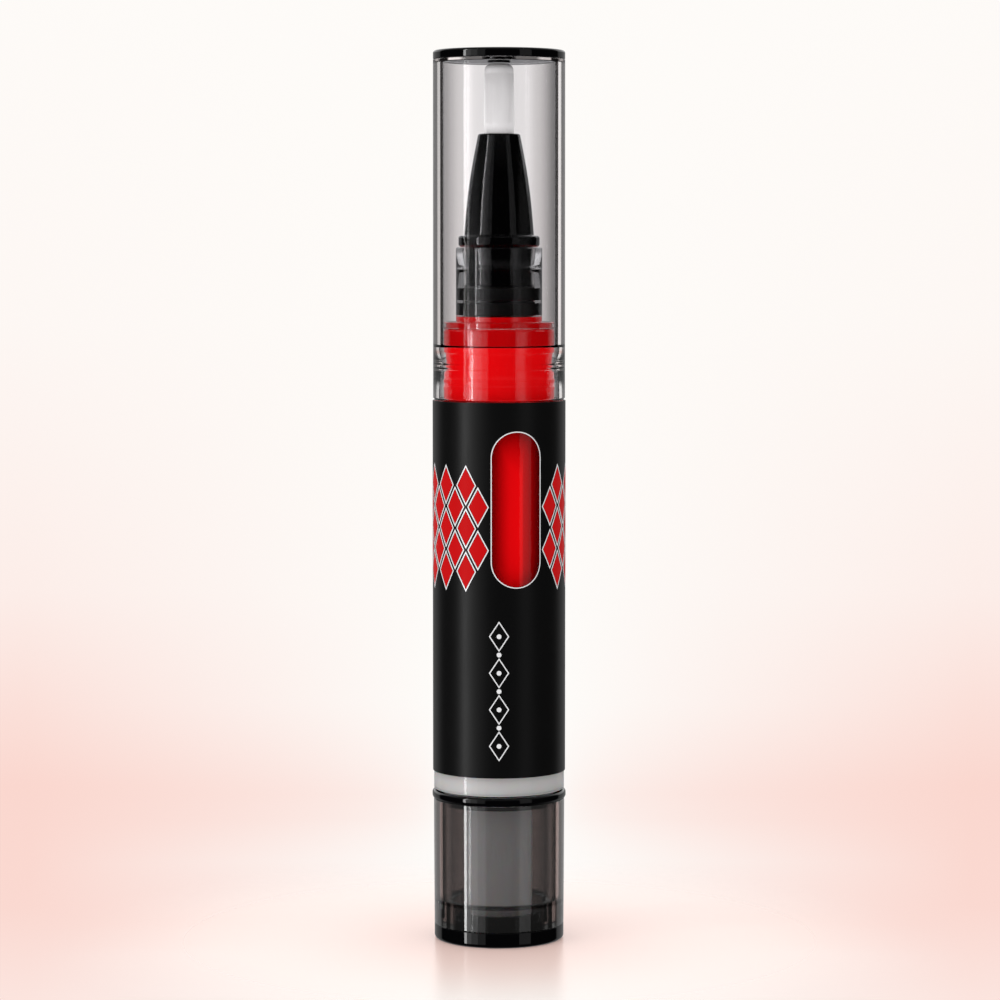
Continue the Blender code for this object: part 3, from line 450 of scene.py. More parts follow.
@dataclass(frozen=True)
class Oil:
    """The red oil. It wets its clear wall, whose highlights show on it above the label. Painted shade and a
    painted bright band darken and lighten its colour.
    """

    name: str = "red_oil"
    colour: Colour = (0.97, 0.003, 0.005)
    # painted shade: the dark red that the oil turns to where shade is painted
    painted_shade_colour: Colour = (0.16, 0.0, 0.001)
    label_top: float = 70.18 * MM
    # painted shade round the oil behind the label, lightest in a painted bright band with a sharp edge just
    # right of the front
    painted_light_round: Stops = ((0.0, 0.9), (0.44, 0.82), (0.58, 0.12), (0.638, 0.0), (0.652, 0.42), (0.80, 0.9))
    # painted shade towards the top of the window
    window_shade: float = 0.62
    window_reach: Range = (60.5 * MM, 66.6 * MM)
    # painted shade near the barrel's closed end, above the cap's mouth step
    end_shade: float = 0.5
    end_shade_from: float = 77.18 * MM
    sheen_fade: float = 0.3 * MM
    sheen_roughness: float = 0.03
    sheen_ior: float = 1.9
    drift: float = 0.05
    drift_scale: float = 120.0
    roughness: float = 0.4
    spread: float = 0.02
    marks_scale: float = 200.0

    def _shade(self, tree: Tree, place: bpy.types.NodeOutputs) -> Socket:
        """Finds the oil's painted shade: painted shade at both sides behind the label with a painted bright
        band just right of the front, painted shade towards the window's top, and painted shade near the
        barrel's closed end.

        Args:
            tree: The material's tree.
            place: The X, Y and Z of a point on it.

        Returns:
            The share of the painted shade colour.
        """
        side = tree.math("ARCTAN2", place["X"], tree.math("MULTIPLY", place["Y"], -1.0))
        along = tree.spread(side, (-math.pi / 2, math.pi / 2), (0.0, 1.0))
        window_top_shade = tree.spread(place["Z"], self.window_reach, (0.0, self.window_shade))
        # painted shade and painted bright band round the side, or painted shade towards the window's top
        depth = tree.math("MAXIMUM", tree.curve(along, self.painted_light_round, smooth=True), window_top_shade)
        labelled = tree.math("MULTIPLY", depth, tree.math("LESS_THAN", place["Z"], self.label_top))
        at_end = tree.math("GREATER_THAN", place["Z"], self.end_shade_from)
        return tree.math("MAXIMUM", labelled, tree.math("MULTIPLY", at_end, self.end_shade))

    def material(self, effects: Effects) -> Finish:
        """Makes the material.

        Args:
            effects: The shared node groups.

        Returns:
            The material.
        """
        material, tree, shader = material_tree(self.name)
        place = tree.axes(tree.own_place())
        # the oil's colour, with its painted shade and painted bright band
        tone = tree.mix(self._shade(tree, place), (*self.colour, 1.0), (*self.painted_shade_colour, 1.0))
        marks = {"Roughness": self.roughness, "Spread": self.spread, "Scale": self.marks_scale}
        sheen_ends = (self.label_top, self.label_top + self.sheen_fade)
        sources = {
            "Base Color": tree.effect(effects.drift, Color=tone, Amount=self.drift, Scale=self.drift_scale),
            "Roughness": tree.effect(effects.marks, **marks),
            "Specular IOR Level": 0.0,
            "Coat Weight": tree.spread(place["Z"], sheen_ends, (0.0, 1.0)),
            "Coat Roughness": self.sheen_roughness,
            "Coat IOR": self.sheen_ior,
        }
        tree.feed_all(shader, sources)
        return material


@dataclass(frozen=True)
class Fibre:
    """Pale brush fibres, with streaks along them."""

    name: str
    colour: Colour = (0.96, 0.95, 0.945)
    dark_colour: Colour = (0.88, 0.87, 0.865)
    streaks: float = 6500.0
    streak_stretch: Colour = (1.0, 1.0, 0.02)
    streak_band: Range = (0.35, 0.75)
    streak_share: float = 0.6
    streak_depth: float = 0.03 * MM
    roughness: float = 0.5
    spread: float = 0.1
    marks_scale: float = 900.0

    def material(self, effects: Effects) -> Finish:
        """Makes the material.

        Args:
            effects: The shared node groups.

        Returns:
            The material.
        """
        material, tree, shader = material_tree(self.name)
        lines = tree.noise(self.streaks, stretch=self.streak_stretch, detail=2.0)
        share = tree.spread(lines, self.streak_band, (0.0, self.streak_share))
        marks = {"Roughness": self.roughness, "Spread": self.spread, "Scale": self.marks_scale}
        sources = {
            "Base Color": tree.mix(share, (*self.colour, 1.0), (*self.dark_colour, 1.0)),
            "Roughness": tree.effect(effects.marks, **marks),
            "Normal": tree.bump(lines, self.streak_depth),
        }
        tree.feed_all(shader, sources)
        return material


class Palette:
    """Every finish of the pen, made once."""

    def __init__(self, effects: Effects) -> None:
        """Makes the materials.

        Args:
            effects: The shared node groups.
        """
        self.cap = ClearMoulding(
            "smoked_cap", (0.882, 0.876, 0.890), (0.975, 0.97, 0.97), reflection=0.22
        ).material(effects)
        self.knob = ClearMoulding(
            "smoked_knob",
            (0.359, 0.366, 0.368),
            (0.66, 0.65, 0.65),
            clearness=0.96,
            coat=1.0,
            ledge=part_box("knob_shell")[0].z + Knob.ledge_height,
        ).material(effects)
        self.clear = ClearMoulding(
            "clear_barrel", (0.975, 0.97, 0.97), (0.995, 0.995, 0.995)
        ).material(effects)
        self.gloss = Moulding(
            "black_gloss", (0.0012, 0.0012, 0.0015), 0.04, spread=0.015, ripple_depth=0.002 * MM
        ).material(effects)
        self.rubber = Moulding(
            "black_rubber", (0.003, 0.003, 0.003), 0.40, spread=0.08, grain=0.4, gloss_level=0.25
        ).material(effects)
        self.label = Moulding(
            "black_label_film",
            (0.0022, 0.0022, 0.0024),
            0.34,
            gloss_level=0.3,
            spread=0.05,
            grain=0.5,
            ripple_depth=0.002 * MM,
            ripple_scale=60.0,
        ).material(effects)
        self.oil = Oil().material(effects)
        self.natural = Moulding(
            "natural_plastic", (0.60, 0.585, 0.58), 0.38, drift=0.10, subsurface=0.3
        ).material(effects)
        # painted light: a lighter copy of the natural plastic, so that the driver tube shows bright through
        # the smoked shell
        self.tube = Moulding(
            "natural_plastic_painted_light", (0.83, 0.785, 0.78), 0.38, drift=0.10, subsurface=0.3
        ).material(effects)
        self.white = Moulding("white_plastic", (0.78, 0.77, 0.75), 0.35, subsurface=0.15).material(effects)
        self.steel = Moulding(
            "brushed_steel", (0.6, 0.6, 0.62), 0.28, spread=0.12, metallic=1.0
        ).material(effects)
        self.fibre = Fibre("brush_fibre").material(effects)
        self.silver = Moulding(
            "silver_ink", (0.84, 0.84, 0.85), 0.35, spread=0.08, metallic=0.15, ripple_depth=0.001 * MM
        ).material(effects)
        self.red_ink = Moulding(
            "red_ink", (0.48, 0.002, 0.003), 0.35, spread=0.06, gloss_level=0.05, ripple_depth=0.001 * MM
        ).material(effects)


def new_object(name: str, shape: Shape, finish: Finish | None = None) -> Piece:
    """Makes an object of a finished bmesh.

    Args:
        name: The piece's name.
        shape: Its bmesh, which is freed.
        finish: Its material, where it has one.

    Returns:
        The object, linked to the scene.
    """
    mesh = bpy.data.meshes.new(name)
    shape.to_mesh(mesh)
    shape.free()
    if finish:
        mesh.materials.append(finish)
    piece = bpy.data.objects.new(name, mesh)
    bpy.context.scene.collection.objects.link(piece)
    return piece


def smoothed(piece: Piece, angle: float = math.radians(34)) -> Piece:
    """Shades a piece smooth, with its true edges left sharp.

    Args:
        piece: The piece.
        angle: The least angle of a sharp edge.

    Returns:
        The same piece.
    """
    piece.data.shade_smooth()
    piece.data.set_sharp_from_angle(angle=angle)
    return piece


def seated(piece: Piece, body: Body, slot: Slot, *nodes: str) -> Piece:
    """Makes a piece ride on its body and stand for CAD nodes.

    Args:
        piece: The piece.
        body: The body that it moves with.
        slot: The record's material slot of its finish; not used.
        *nodes: The CAD nodes that it stands for.

    Returns:
        The same piece.
    """
    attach(piece, body.value)
    if nodes:
        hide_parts(*nodes)
    LOG.info("%s rides on %s for %s", piece.name, body.value, ", ".join(nodes) or "no CAD node")
    return piece


def belt(shape: Shape, row: Row, beside: Row) -> None:
    """Fills the belt between two closed rows with equally many points.

    Args:
        shape: The bmesh to add to.
        row: The points of one row.
        beside: The points of the row beside it.
    """
    for index in range(len(row)):
        after = (index + 1) % len(row)
        shape.faces.new((row[index], row[after], beside[after], beside[index]))


@dataclass(frozen=True)
class Lathe:
    """Turns half sections round the pen's axis."""

    segments: int = 192
    fillet_steps: int = 6
    fillet_share: float = 0.44
    guard_share: float = 0.05
    guard_most: float = 0.06 * MM
    on_axis: float = 1e-7

    def outline(self, corners: list[Corner], closed: bool) -> list[Vector]:
        """Draws a half section with its fillets.

        A guard point on each side of a fillet keeps the shading of the wall beside it flat.

        Args:
            corners: Radius and height of each corner, with its fillet where it has one.
            closed: Whether the section is a closed ring.

        Returns:
            The points of the section.
        """
        points = []
        for index, corner in enumerate(corners):
            here = Vector(corner[:2])
            at_end = not closed and index in (0, len(corners) - 1)
            if len(corner) < 3 or at_end:
                points.append(here)
                continue
            back = Vector(corners[index - 1][:2]) - here
            ahead = Vector(corners[(index + 1) % len(corners)][:2]) - here
            half = back.angle(ahead) / 2
            shorter = min(back.length, ahead.length)
            reach = min(corner[2] / math.tan(half), self.fillet_share * shorter)
            guard = min(self.guard_share * shorter, self.guard_most)
            back.normalize()
            ahead.normalize()
            points.append(here + back * (reach + guard))
            centre = here + (back + ahead).normalized() * (reach / math.cos(half))
            first = here + back * reach - centre
            last = here + ahead * reach - centre
            sweep = math.atan2(first.x * last.y - first.y * last.x, first.dot(last))
            for step in range(self.fillet_steps + 1):
                points.append(centre + Matrix.Rotation(sweep * step / self.fillet_steps, 2) @ first)
            points.append(here + ahead * (reach + guard))
        return points

    def turned(self, name: str, corners: list[Corner], finish: Finish) -> Piece:
        """Turns a closed half section, or one that starts and ends on the axis.

        Args:
            name: The piece's name.
            corners: Radius and height of each corner, with its fillet where it has one.
            finish: Its material.

        Returns:
            The turned piece.
        """
        solid = corners[0][0] == 0 and corners[-1][0] == 0
        shape = bmesh.new()
        rings = [self._ring(shape, point) for point in self.outline(corners, closed=not solid)]
        pairs = list(zip(rings, rings[1:]))
        if not solid:
            pairs.append((rings[-1], rings[0]))
        for low, high in pairs:
            self._join(shape, low, high)
        bmesh.ops.recalc_face_normals(shape, faces=shape.faces)
        return smoothed(new_object(name, shape, finish))

    def _ring(self, shape: Shape, point: Vector) -> Row:
        """Turns one point of a half section.

        Args:
            shape: The bmesh to add to.
            point: Its radius and height.

        Returns:
            The ring, or a single point where it lies on the axis.
        """
        if point.x < self.on_axis:
            return [shape.verts.new((0, 0, point.y))]
        ring = []
        for step in range(self.segments):
            angle = 2 * math.pi * step / self.segments
            ring.append(shape.verts.new((point.x * math.cos(angle), point.x * math.sin(angle), point.y)))
        return ring

    def _join(self, shape: Shape, low: Row, high: Row) -> None:
        """Fills the belt between two rings, either of which may be one point on the axis.

        Args:
            shape: The bmesh to add to.
            low: One ring.
            high: The ring after it.
        """
        if len(low) == len(high):
            if len(low) > 1:
                belt(shape, low, high)
            return
        for step in range(self.segments):
            after = (step + 1) % self.segments
            if len(low) == 1:
                shape.faces.new((low[0], high[after], high[step]))
            else:
                shape.faces.new((low[step], low[after], high[0]))


def prism(outline: Loop, low: float, high: float) -> Piece:
    """Draws an outline in the plane z = 0 up into a closed block, to cut with.

    Args:
        outline: The points of the outline.
        low: The height of its foot.
        high: The height of its top.

    Returns:
        The block.
    """
    shape = bmesh.new()
    foot = shape.faces.new([shape.verts.new((x, y, low)) for x, y in outline])
    drawn = bmesh.ops.extrude_face_region(shape, geom=[foot])
    risen = [item for item in drawn["geom"] if isinstance(item, bmesh.types.BMVert)]
    bmesh.ops.translate(shape, verts=risen, vec=(0, 0, high - low))
    bmesh.ops.recalc_face_normals(shape, faces=shape.faces)
    return new_object("cutter", shape)


def carved(piece: Piece, blocks: list[Piece]) -> Piece:
    """Cuts blocks out of a piece for good and takes them away.

    Args:
        piece: The piece.
        blocks: The blocks to cut with.

    Returns:
        The same piece.
    """
    for block in blocks:
        boolean = piece.modifiers.new("carve", "BOOLEAN")
        boolean.operation = "DIFFERENCE"
        boolean.solver = "EXACT"
        boolean.object = block
    bpy.context.view_layer.update()
    graph = bpy.context.evaluated_depsgraph_get()
    mesh = bpy.data.meshes.new_from_object(piece.evaluated_get(graph))
    piece.modifiers.clear()
    old = piece.data
    piece.data = mesh
    bpy.data.meshes.remove(old)
    for block in blocks:
        bpy.data.objects.remove(block, do_unlink=True)
    return smoothed(piece)


def stadium(width: float, length: float, steps: int = 24) -> Loop:
    """Draws a slot with round ends, centred on the origin and upright.

    Args:
        width: Its width.
        length: Its length over the round ends.
        steps: Steps in each round end.

    Returns:
        The points of the slot.
    """
    radius = width / 2
    half = length / 2 - radius
    points = []
    for centre, start in ((half, 0.0), (-half, math.pi)):
        for step in range(steps + 1):
            angle = start + math.pi * step / steps
            points.append((radius * math.cos(angle), centre + radius * math.sin(angle)))
    return points


def lozenge(width: float, height: float, steps: int = 6) -> Loop:
    """Draws an upright lozenge, centred on the origin.

    Args:
        width: Its width.
        height: Its height.
        steps: Points along each side.

    Returns:
        The points of the lozenge.
    """
    right, top = Vector((width / 2, 0)), Vector((0, height / 2))
    tips = [right, top, -right, -top]
    points = []
    for tip, after in zip(tips, tips[1:] + tips[:1]):
        for step in range(steps):
            point = tip.lerp(after, step / steps)
            points.append((point.x, point.y))
    return points


@dataclass(frozen=True)
class Print:
    """A raised layer of ink on the outside of a round wall."""

    radius: float
    thickness: float = 0.012 * MM
    sharp_angle: float = math.radians(50)

    def _row(self, shape: Shape, loop: Loop, place: Place, lift: float, share: float = 1.0) -> Row:
        """Wraps a flat loop on the wall.

        Args:
            shape: The bmesh to add to.
            loop: The loop's points.
            place: The angle and the height of its middle.
            lift: How far it is lifted off the wall.
            share: How large it is drawn.

        Returns:
            The wrapped points.
        """
        reach = self.radius + lift
        row = []
        for across, up in loop:
            turn = place[0] + across * share / self.radius
            spot = (reach * math.cos(turn), reach * math.sin(turn), place[1] + up * share)
            row.append(shape.verts.new(spot))
        return row

    def band(self, shape: Shape, outer: Loop, inner: Loop, place: Place) -> None:
        """Adds a closed band between two loops with equally many points.

        Args:
            shape: The bmesh to add to.
            outer: The outer loop.
            inner: The inner loop.
            place: The angle and the height of its middle.
        """
        turns = ((outer, 0.0), (outer, self.thickness), (inner, self.thickness), (inner, 0.0))
        rows = [self._row(shape, loop, place, lift) for loop, lift in turns]
        for row, beside in zip(rows, rows[1:] + rows[:1]):
            belt(shape, row, beside)

    def patch(self, shape: Shape, loop: Loop, place: Place, rings: int = 4) -> None:
        """Adds a filled patch, drawn in rings so that it follows the wall.

        Args:
            shape: The bmesh to add to.
            loop: Its outline.
            place: The angle and the height of its middle.
            rings: How many rings it is drawn in.
        """
        rims = []
        for lift in (0.0, self.thickness):
            rows = [self._row(shape, loop, place, lift, 1 - ring / rings) for ring in range(rings)]
            middle = self._row(shape, [(0.0, 0.0)], place, lift)[0]
            for row, within in zip(rows, rows[1:]):
                belt(shape, row, within)
            for index, point in enumerate(rows[-1]):
                shape.faces.new((point, rows[-1][(index + 1) % len(loop)], middle))
            rims.append(rows[0])
        belt(shape, *rims)

    def finished(self, name: str, shape: Shape, finish: Finish) -> Piece:
        """Makes the printed piece from the bands and patches in a bmesh."""
        bmesh.ops.recalc_face_normals(shape, faces=shape.faces)
        return smoothed(new_object(name, shape, finish), self.sharp_angle)


@dataclass
class Assembly:
    """What the sub-assemblies share: the finishes, the lathe, and the body that they ride on."""

    palette: Palette
    lathe: Lathe = field(default_factory=Lathe)
    body: ClassVar[Body] = Body.BARREL

    def turn(self, name: str, node: str, slot: Slot, finish: Finish, corners: list[Corner]) -> Piece:
        """Turns the piece that stands for a CAD node, and seats it on the body."""
        return seated(self.lathe.turned(name, corners, finish), self.body, slot, node)


@dataclass
class Cap(Assembly):
    """The smoked cap: its shell and the black disc on its top."""

    body: ClassVar[Body] = Body.CAP
    bore_radius: float = 7.25 * MM
    mouth_radius: float = 7.65 * MM
    mouth_depth: float = 6.85 * MM
    draft: float = 0.03 * MM
    bead_height: float = 4.3 * MM
    bead_half_width: float = 0.5 * MM
    bead_rise: float = 0.22 * MM
    rim_fillet: float = 0.22 * MM
    end_wall: float = 0.3 * MM
    hole_radius: float = 1.45 * MM
    ceiling_fillet: float = 0.12 * MM
    step_fillet: float = 0.08 * MM
    mouth_fillet: float = 0.2 * MM
    disc_fillet: float = 0.35 * MM
    pip_radius: float = 1.46 * MM
    seat_gap: float = 0.03 * MM

    def build(self) -> None:
        """Builds the cap."""
        self._shell()
        self._disc()

    def _shell(self) -> None:
        """Turns the smoked shell, with its wider mouth and snap bead."""
        low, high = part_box("cap_shell")
        foot, top, rim = low.z, high.z, high.x
        step = foot + self.mouth_depth
        bead = foot + self.bead_height
        section = [
            (rim, foot, self.rim_fillet),
            (rim - self.draft, top, self.step_fillet),
            (self.hole_radius, top),
            (self.hole_radius, top - self.end_wall, self.step_fillet),
            (self.bore_radius, top - self.end_wall, self.ceiling_fillet),
            (self.bore_radius, step, self.mouth_fillet),
            (self.mouth_radius, step, self.mouth_fillet),
            (self.mouth_radius, bead + self.bead_half_width),
            (self.mouth_radius - self.bead_rise, bead, 2 * self.bead_half_width),
            (self.mouth_radius, bead - self.bead_half_width),
            (self.mouth_radius, foot, self.step_fillet),
        ]
        self.turn("cap_tube", "cap_shell", Slot.SMOKED, self.palette.cap, section)

    def _disc(self) -> None:
        """Turns the black disc and the pip that holds it."""
        low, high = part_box("cap_top_disc")
        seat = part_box("cap_shell")[1].z + self.seat_gap
        section = [
            (0, high.z),
            (high.x, high.z, self.disc_fillet),
            (high.x, seat, self.step_fillet),
            (self.pip_radius, seat),
            (self.pip_radius, low.z, self.step_fillet),
            (0, low.z),
        ]
        self.turn("cap_disc", "cap_top_disc", Slot.GLOSS, self.palette.gloss, section)


@dataclass
class Barrel(Assembly):
    """The clear barrel and the oil in it."""

    shoulder_land: float = 0.15 * MM
    shoulder_fillet: float = 0.14 * MM
    foot_fillet: float = 0.2 * MM
    spigot_radius: float = 7.15 * MM
    spigot_height: float = 10.0 * MM
    spigot_fillet: float = 0.2 * MM
    bead_heights: tuple[float, float] = (1.7 * MM, 2.7 * MM)
    bead_rise: float = 0.1 * MM
    bead_half_width: float = 0.25 * MM
    groove_height: float = 3.9 * MM
    groove_width: float = 2.1 * MM
    groove_depth: float = 0.22 * MM
    groove_slope: float = 0.2 * MM
    line_drop: float = 1.0 * MM
    line_depth: float = 0.2 * MM
    line_half_width: float = 0.15 * MM
    neck_radius: float = 5.57 * MM
    neck_fillet: float = 0.22 * MM
    neck_bore: float = 4.6 * MM
    rib_drop: float = 2.75 * MM
    rib_depth: float = 0.2 * MM
    rib_half_width: float = 0.5 * MM
    end_wall: float = 0.9 * MM
    bore_radius: float = 6.25 * MM
    seat_radius: float = 7.15 * MM
    seat_depth: float = 16.9 * MM
    wetting: float = 0.02 * MM
    edge_fillet: float = 0.05 * MM

    def build(self) -> None:
        """Builds the barrel and its oil."""
        self._wall()
        self._charge()
        self._neck_oil()

    @property
    def shoulder(self) -> float:
        """The height of the shoulder that the cap stands on."""
        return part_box("label_sleeve")[1].z + self.shoulder_land

    def _spigot(self) -> list[Corner]:
        """Draws the spigot's side from the shoulder up, with its beads and grooves.

        Returns:
            Its corners.
        """
        side, base = self.spigot_radius, self.shoulder
        points: list[Corner] = [(side, base, self.edge_fillet)]
        for bead in self.bead_heights:
            points += [
                (side, base + bead - self.bead_half_width),
                (side + self.bead_rise, base + bead, self.bead_half_width),
                (side, base + bead + self.bead_half_width),
            ]
        groove = base + self.groove_height
        floor = side - self.groove_depth
        points += [
            (side, groove, self.edge_fillet),
            (floor, groove + self.groove_slope, self.edge_fillet),
            (floor, groove + self.groove_width - self.groove_slope, self.edge_fillet),
            (side, groove + self.groove_width, self.edge_fillet),
        ]
        line = base + self.spigot_height - self.line_drop
        points += [
            (side, line - self.line_half_width, self.edge_fillet),
            (side - self.line_depth, line, self.edge_fillet),
            (side, line + self.line_half_width, self.edge_fillet),
            (side, base + self.spigot_height, self.spigot_fillet),
        ]
        return points

    def _wall(self) -> None:
        """Turns the clear body, spigot and neck in one piece."""
        low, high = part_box("barrel")
        spigot_top = self.shoulder + self.spigot_height
        bore_top = spigot_top - self.end_wall
        rib = high.z - self.rib_drop
        section = [
            (high.x, low.z, self.foot_fillet),
            (high.x, self.shoulder, self.shoulder_fillet),
            *self._spigot(),
            (self.neck_radius, spigot_top, self.edge_fillet),
            (self.neck_radius, high.z, self.neck_fillet),
            (self.neck_bore, high.z, self.edge_fillet),
            (self.neck_bore, rib + self.rib_half_width),
            (self.neck_bore + self.rib_depth, rib, self.rib_half_width),
            (self.neck_bore, rib - self.rib_half_width),
            (self.neck_bore, bore_top, self.edge_fillet),
            (self.bore_radius, bore_top, self.spigot_fillet),
            (self.bore_radius, low.z + self.seat_depth, self.edge_fillet),
            (self.seat_radius, low.z + self.seat_depth, self.edge_fillet),
            (self.seat_radius, low.z),
        ]
        self.turn("barrel_wall", "barrel", Slot.CLEAR, self.palette.clear, section)

    def _charge(self) -> None:
        """Turns the oil in the bore and gives it a mesh of its own."""
        low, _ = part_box("oil_charge")
        top = self.shoulder + self.spigot_height - self.end_wall + self.wetting
        radius = self.bore_radius + self.wetting
        section = [(0, top), (radius, top, self.spigot_fillet), (radius, low.z), (0, low.z)]
        oil = self.turn("oil_in_barrel", "oil_charge", Slot.OIL, self.palette.oil, section)
        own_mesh(oil)

    def _neck_oil(self) -> None:
        """Turns the oil that stands in the neck."""
        low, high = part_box("oil_in_neck")
        radius = self.neck_bore + self.wetting
        foot = low.z + self.wetting
        section = [(0, high.z), (radius, high.z), (radius, foot), (0, foot)]
        self.turn("oil_in_neck_fine", "oil_in_neck", Slot.OIL, self.palette.oil, section)


@dataclass
class Nozzle(Assembly):
    """The black brush holder and its seals."""

    seal_seat: float = 3.25 * MM
    seal_zone: float = 3.82 * MM
    shank_radius: float = 4.3 * MM
    flange_height: float = 1.45 * MM
    seat_gap: float = 0.05 * MM
    flange_fillet: float = 0.4 * MM
    cone_base: float = 4.5 * MM
    cone_top: float = 2.68 * MM
    cone_bulge: float = 0.26 * MM
    cone_steps: int = 24
    cone_fillet: float = 0.35 * MM
    root_fillet: float = 0.15 * MM
    tube_bore: float = 0.95 * MM
    ferrule_bore: float = 2.2 * MM
    seal_fillet: float = 0.22 * MM

    def build(self) -> None:
        """Builds the nozzle."""
        self._holder()
        self._seals()

    def _holder(self) -> None:
        """Turns the cone, its flange and its shank."""
        low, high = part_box("nozzle_cone")
        foot, top = low.z, high.z
        flange_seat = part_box("barrel")[1].z + self.seat_gap
        flange_top = flange_seat + self.flange_height
        ferrule_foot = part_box("brush_ferrule")[0].z - self.seat_gap
        side: list[Corner] = []
        for step in range(self.cone_steps):
            share = step / self.cone_steps
            straight = self.cone_base + (self.cone_top - self.cone_base) * share
            radius = straight + self.cone_bulge * math.sin(math.pi * share)
            side.append((radius, flange_top + (top - flange_top) * share))
        side[0] = (*side[0], self.root_fillet)
        section = [
            (self.tube_bore, foot),
            (self.seal_seat, foot),
            (self.seal_seat, foot + self.seal_zone),
            (self.shank_radius, foot + self.seal_zone, self.root_fillet),
            (self.shank_radius, flange_seat, self.root_fillet),
            (high.x, flange_seat, self.flange_fillet),
            (high.x, flange_top, self.flange_fillet),
            *side,
            (self.cone_top, top, self.cone_fillet),
            (self.ferrule_bore, top, self.root_fillet),
            (self.ferrule_bore, ferrule_foot),
            (self.tube_bore, ferrule_foot),
        ]
        self.turn("brush_holder", "nozzle_cone", Slot.GLOSS, self.palette.gloss, section)

    def _seals(self) -> None:
        """Turns the two rubber rings, pressed against the neck."""
        outer = Barrel.neck_bore + Barrel.wetting
        for number in (1, 2):
            low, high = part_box(f"nozzle_seal_{number}")
            section = [
                (outer, low.z, self.seal_fillet),
                (outer, high.z, self.seal_fillet),
                (self.seal_seat, high.z),
                (self.seal_seat, low.z),
            ]
            name, node = f"seal_ring_{number}", f"nozzle_seal_{number}"
            self.turn(name, node, Slot.RUBBER, self.palette.rubber, section)


@dataclass
class Brush(Assembly):
    """The brush: a packed core of fibres and loose strands round it."""

    root_radius: float = 1.82 * MM
    belly_radius: float = 1.96 * MM
    tip_radius: float = 1.84 * MM
    tip_round: float = 1.15 * MM
    belly_rise: float = 1.2 * MM
    strand_radius: float = 0.034 * MM
    strand_sides: int = 4
    strand_count: int = 260
    strand_steps: int = 14
    strand_stand_off: float = 0.02 * MM
    strand_sway: float = 0.035 * MM
    strand_taper: float = 0.6
    strand_overrun: float = 1.15
    least_bend: float = 0.35
    phase_step: float = 2.399963
    bend_step: float = 1.7
    sway_turn: float = 5.0
    sharp_angle: float = math.radians(80)
    lathe: Lathe = field(default_factory=lambda: Lathe(segments=96, fillet_steps=14))

    def build(self) -> None:
        """Builds the brush."""
        low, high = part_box("brush_bristles")
        root, top = low.z, high.z
        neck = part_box("nozzle_cone")[1].z
        section = [
            (0, top),
            (self.tip_radius, top, self.tip_round),
            (self.belly_radius, neck + self.belly_rise),
            (self.root_radius, neck),
            (self.root_radius, root),
            (0, root),
        ]
        self.turn("brush_core", "brush_bristles", Slot.BRISTLE, self.palette.fibre, section)
        shape = bmesh.new()
        for number in range(self.strand_count):
            self._strand(shape, number, (root, neck, top))
        strands = smoothed(new_object("brush_strands", shape, self.palette.fibre), self.sharp_angle)
        seated(strands, self.body, Slot.BRISTLE)

    def _side(self, height: float, neck: float, top: float) -> float:
        """Finds the core's radius below its rounded tip.

        Args:
            height: The height to look at.
            neck: Where the brush leaves its holder.
            top: The height of its tip.

        Returns:
            The radius.
        """
        belly = neck + self.belly_rise
        if height < belly:
            share = min(max((height - neck) / self.belly_rise, 0.0), 1.0)
            return self.root_radius + (self.belly_radius - self.root_radius) * share
        share = (height - belly) / (top - belly)
        return self.belly_radius + (self.tip_radius - self.belly_radius) * share

    def _strand(self, shape: Shape, number: int, heights: tuple[float, float, float]) -> None:
        """Adds one strand that climbs the core's side and ends in its rounded tip.

        Args:
            shape: The bmesh to add to.
            number: The strand's number, which sets its place, bend and sway.
            heights: The heights of the root, of the holder's end and of the tip.
        """
        root, neck, top = heights
        angle = 2 * math.pi * number / self.strand_count
        phase = number * self.phase_step
        bent = self.least_bend + (1 - self.least_bend) * (0.5 + 0.5 * math.sin(phase * self.bend_step))
        rings = []
        for step in range(self.strand_steps + 1):
            share = step / self.strand_steps
            climb = share * self.strand_overrun
            height = root + (top - self.tip_round - root) * min(climb, 1.0)
            radius = self._side(height, neck, top) + self.strand_stand_off
            if climb > 1.0:
                bend = (climb - 1.0) / (self.strand_overrun - 1.0) * math.pi / 2 * bent
                radius = self.tip_radius - self.tip_round * (1 - math.cos(bend)) + self.strand_stand_off
                height = top - self.tip_round * (1 - math.sin(bend))
            sway = self.strand_sway * math.sin(phase + self.sway_turn * share) * share / radius
            width = self.strand_radius * (1 - self.strand_taper * share)
            rings.append(self._ring(shape, radius, angle + sway, height, width))
        for ring, beyond in zip(rings, rings[1:]):
            belt(shape, ring, beyond)
        shape.faces.new(rings[-1])
        shape.faces.new(rings[0][::-1])

    def _ring(self, shape: Shape, radius: float, angle: float, height: float, width: float) -> Row:
        """Adds the cross-section of a strand.

        Args:
            shape: The bmesh to add to.
            radius: How far its middle is from the pen's axis.
            angle: Where round the core it is.
            height: How high it is.
            width: The strand's own radius there.

        Returns:
            Its points.
        """
        out = Vector((math.cos(angle), math.sin(angle), 0))
        across = Vector((-math.sin(angle), math.cos(angle), 0))
        centre = out * radius + Vector((0, 0, height))
        ring = []
        for side in range(self.strand_sides):
            turn = 2 * math.pi * side / self.strand_sides
            offset = across * math.cos(turn) + out * math.sin(turn)
            ring.append(shape.verts.new(centre + offset * width))
        return ring


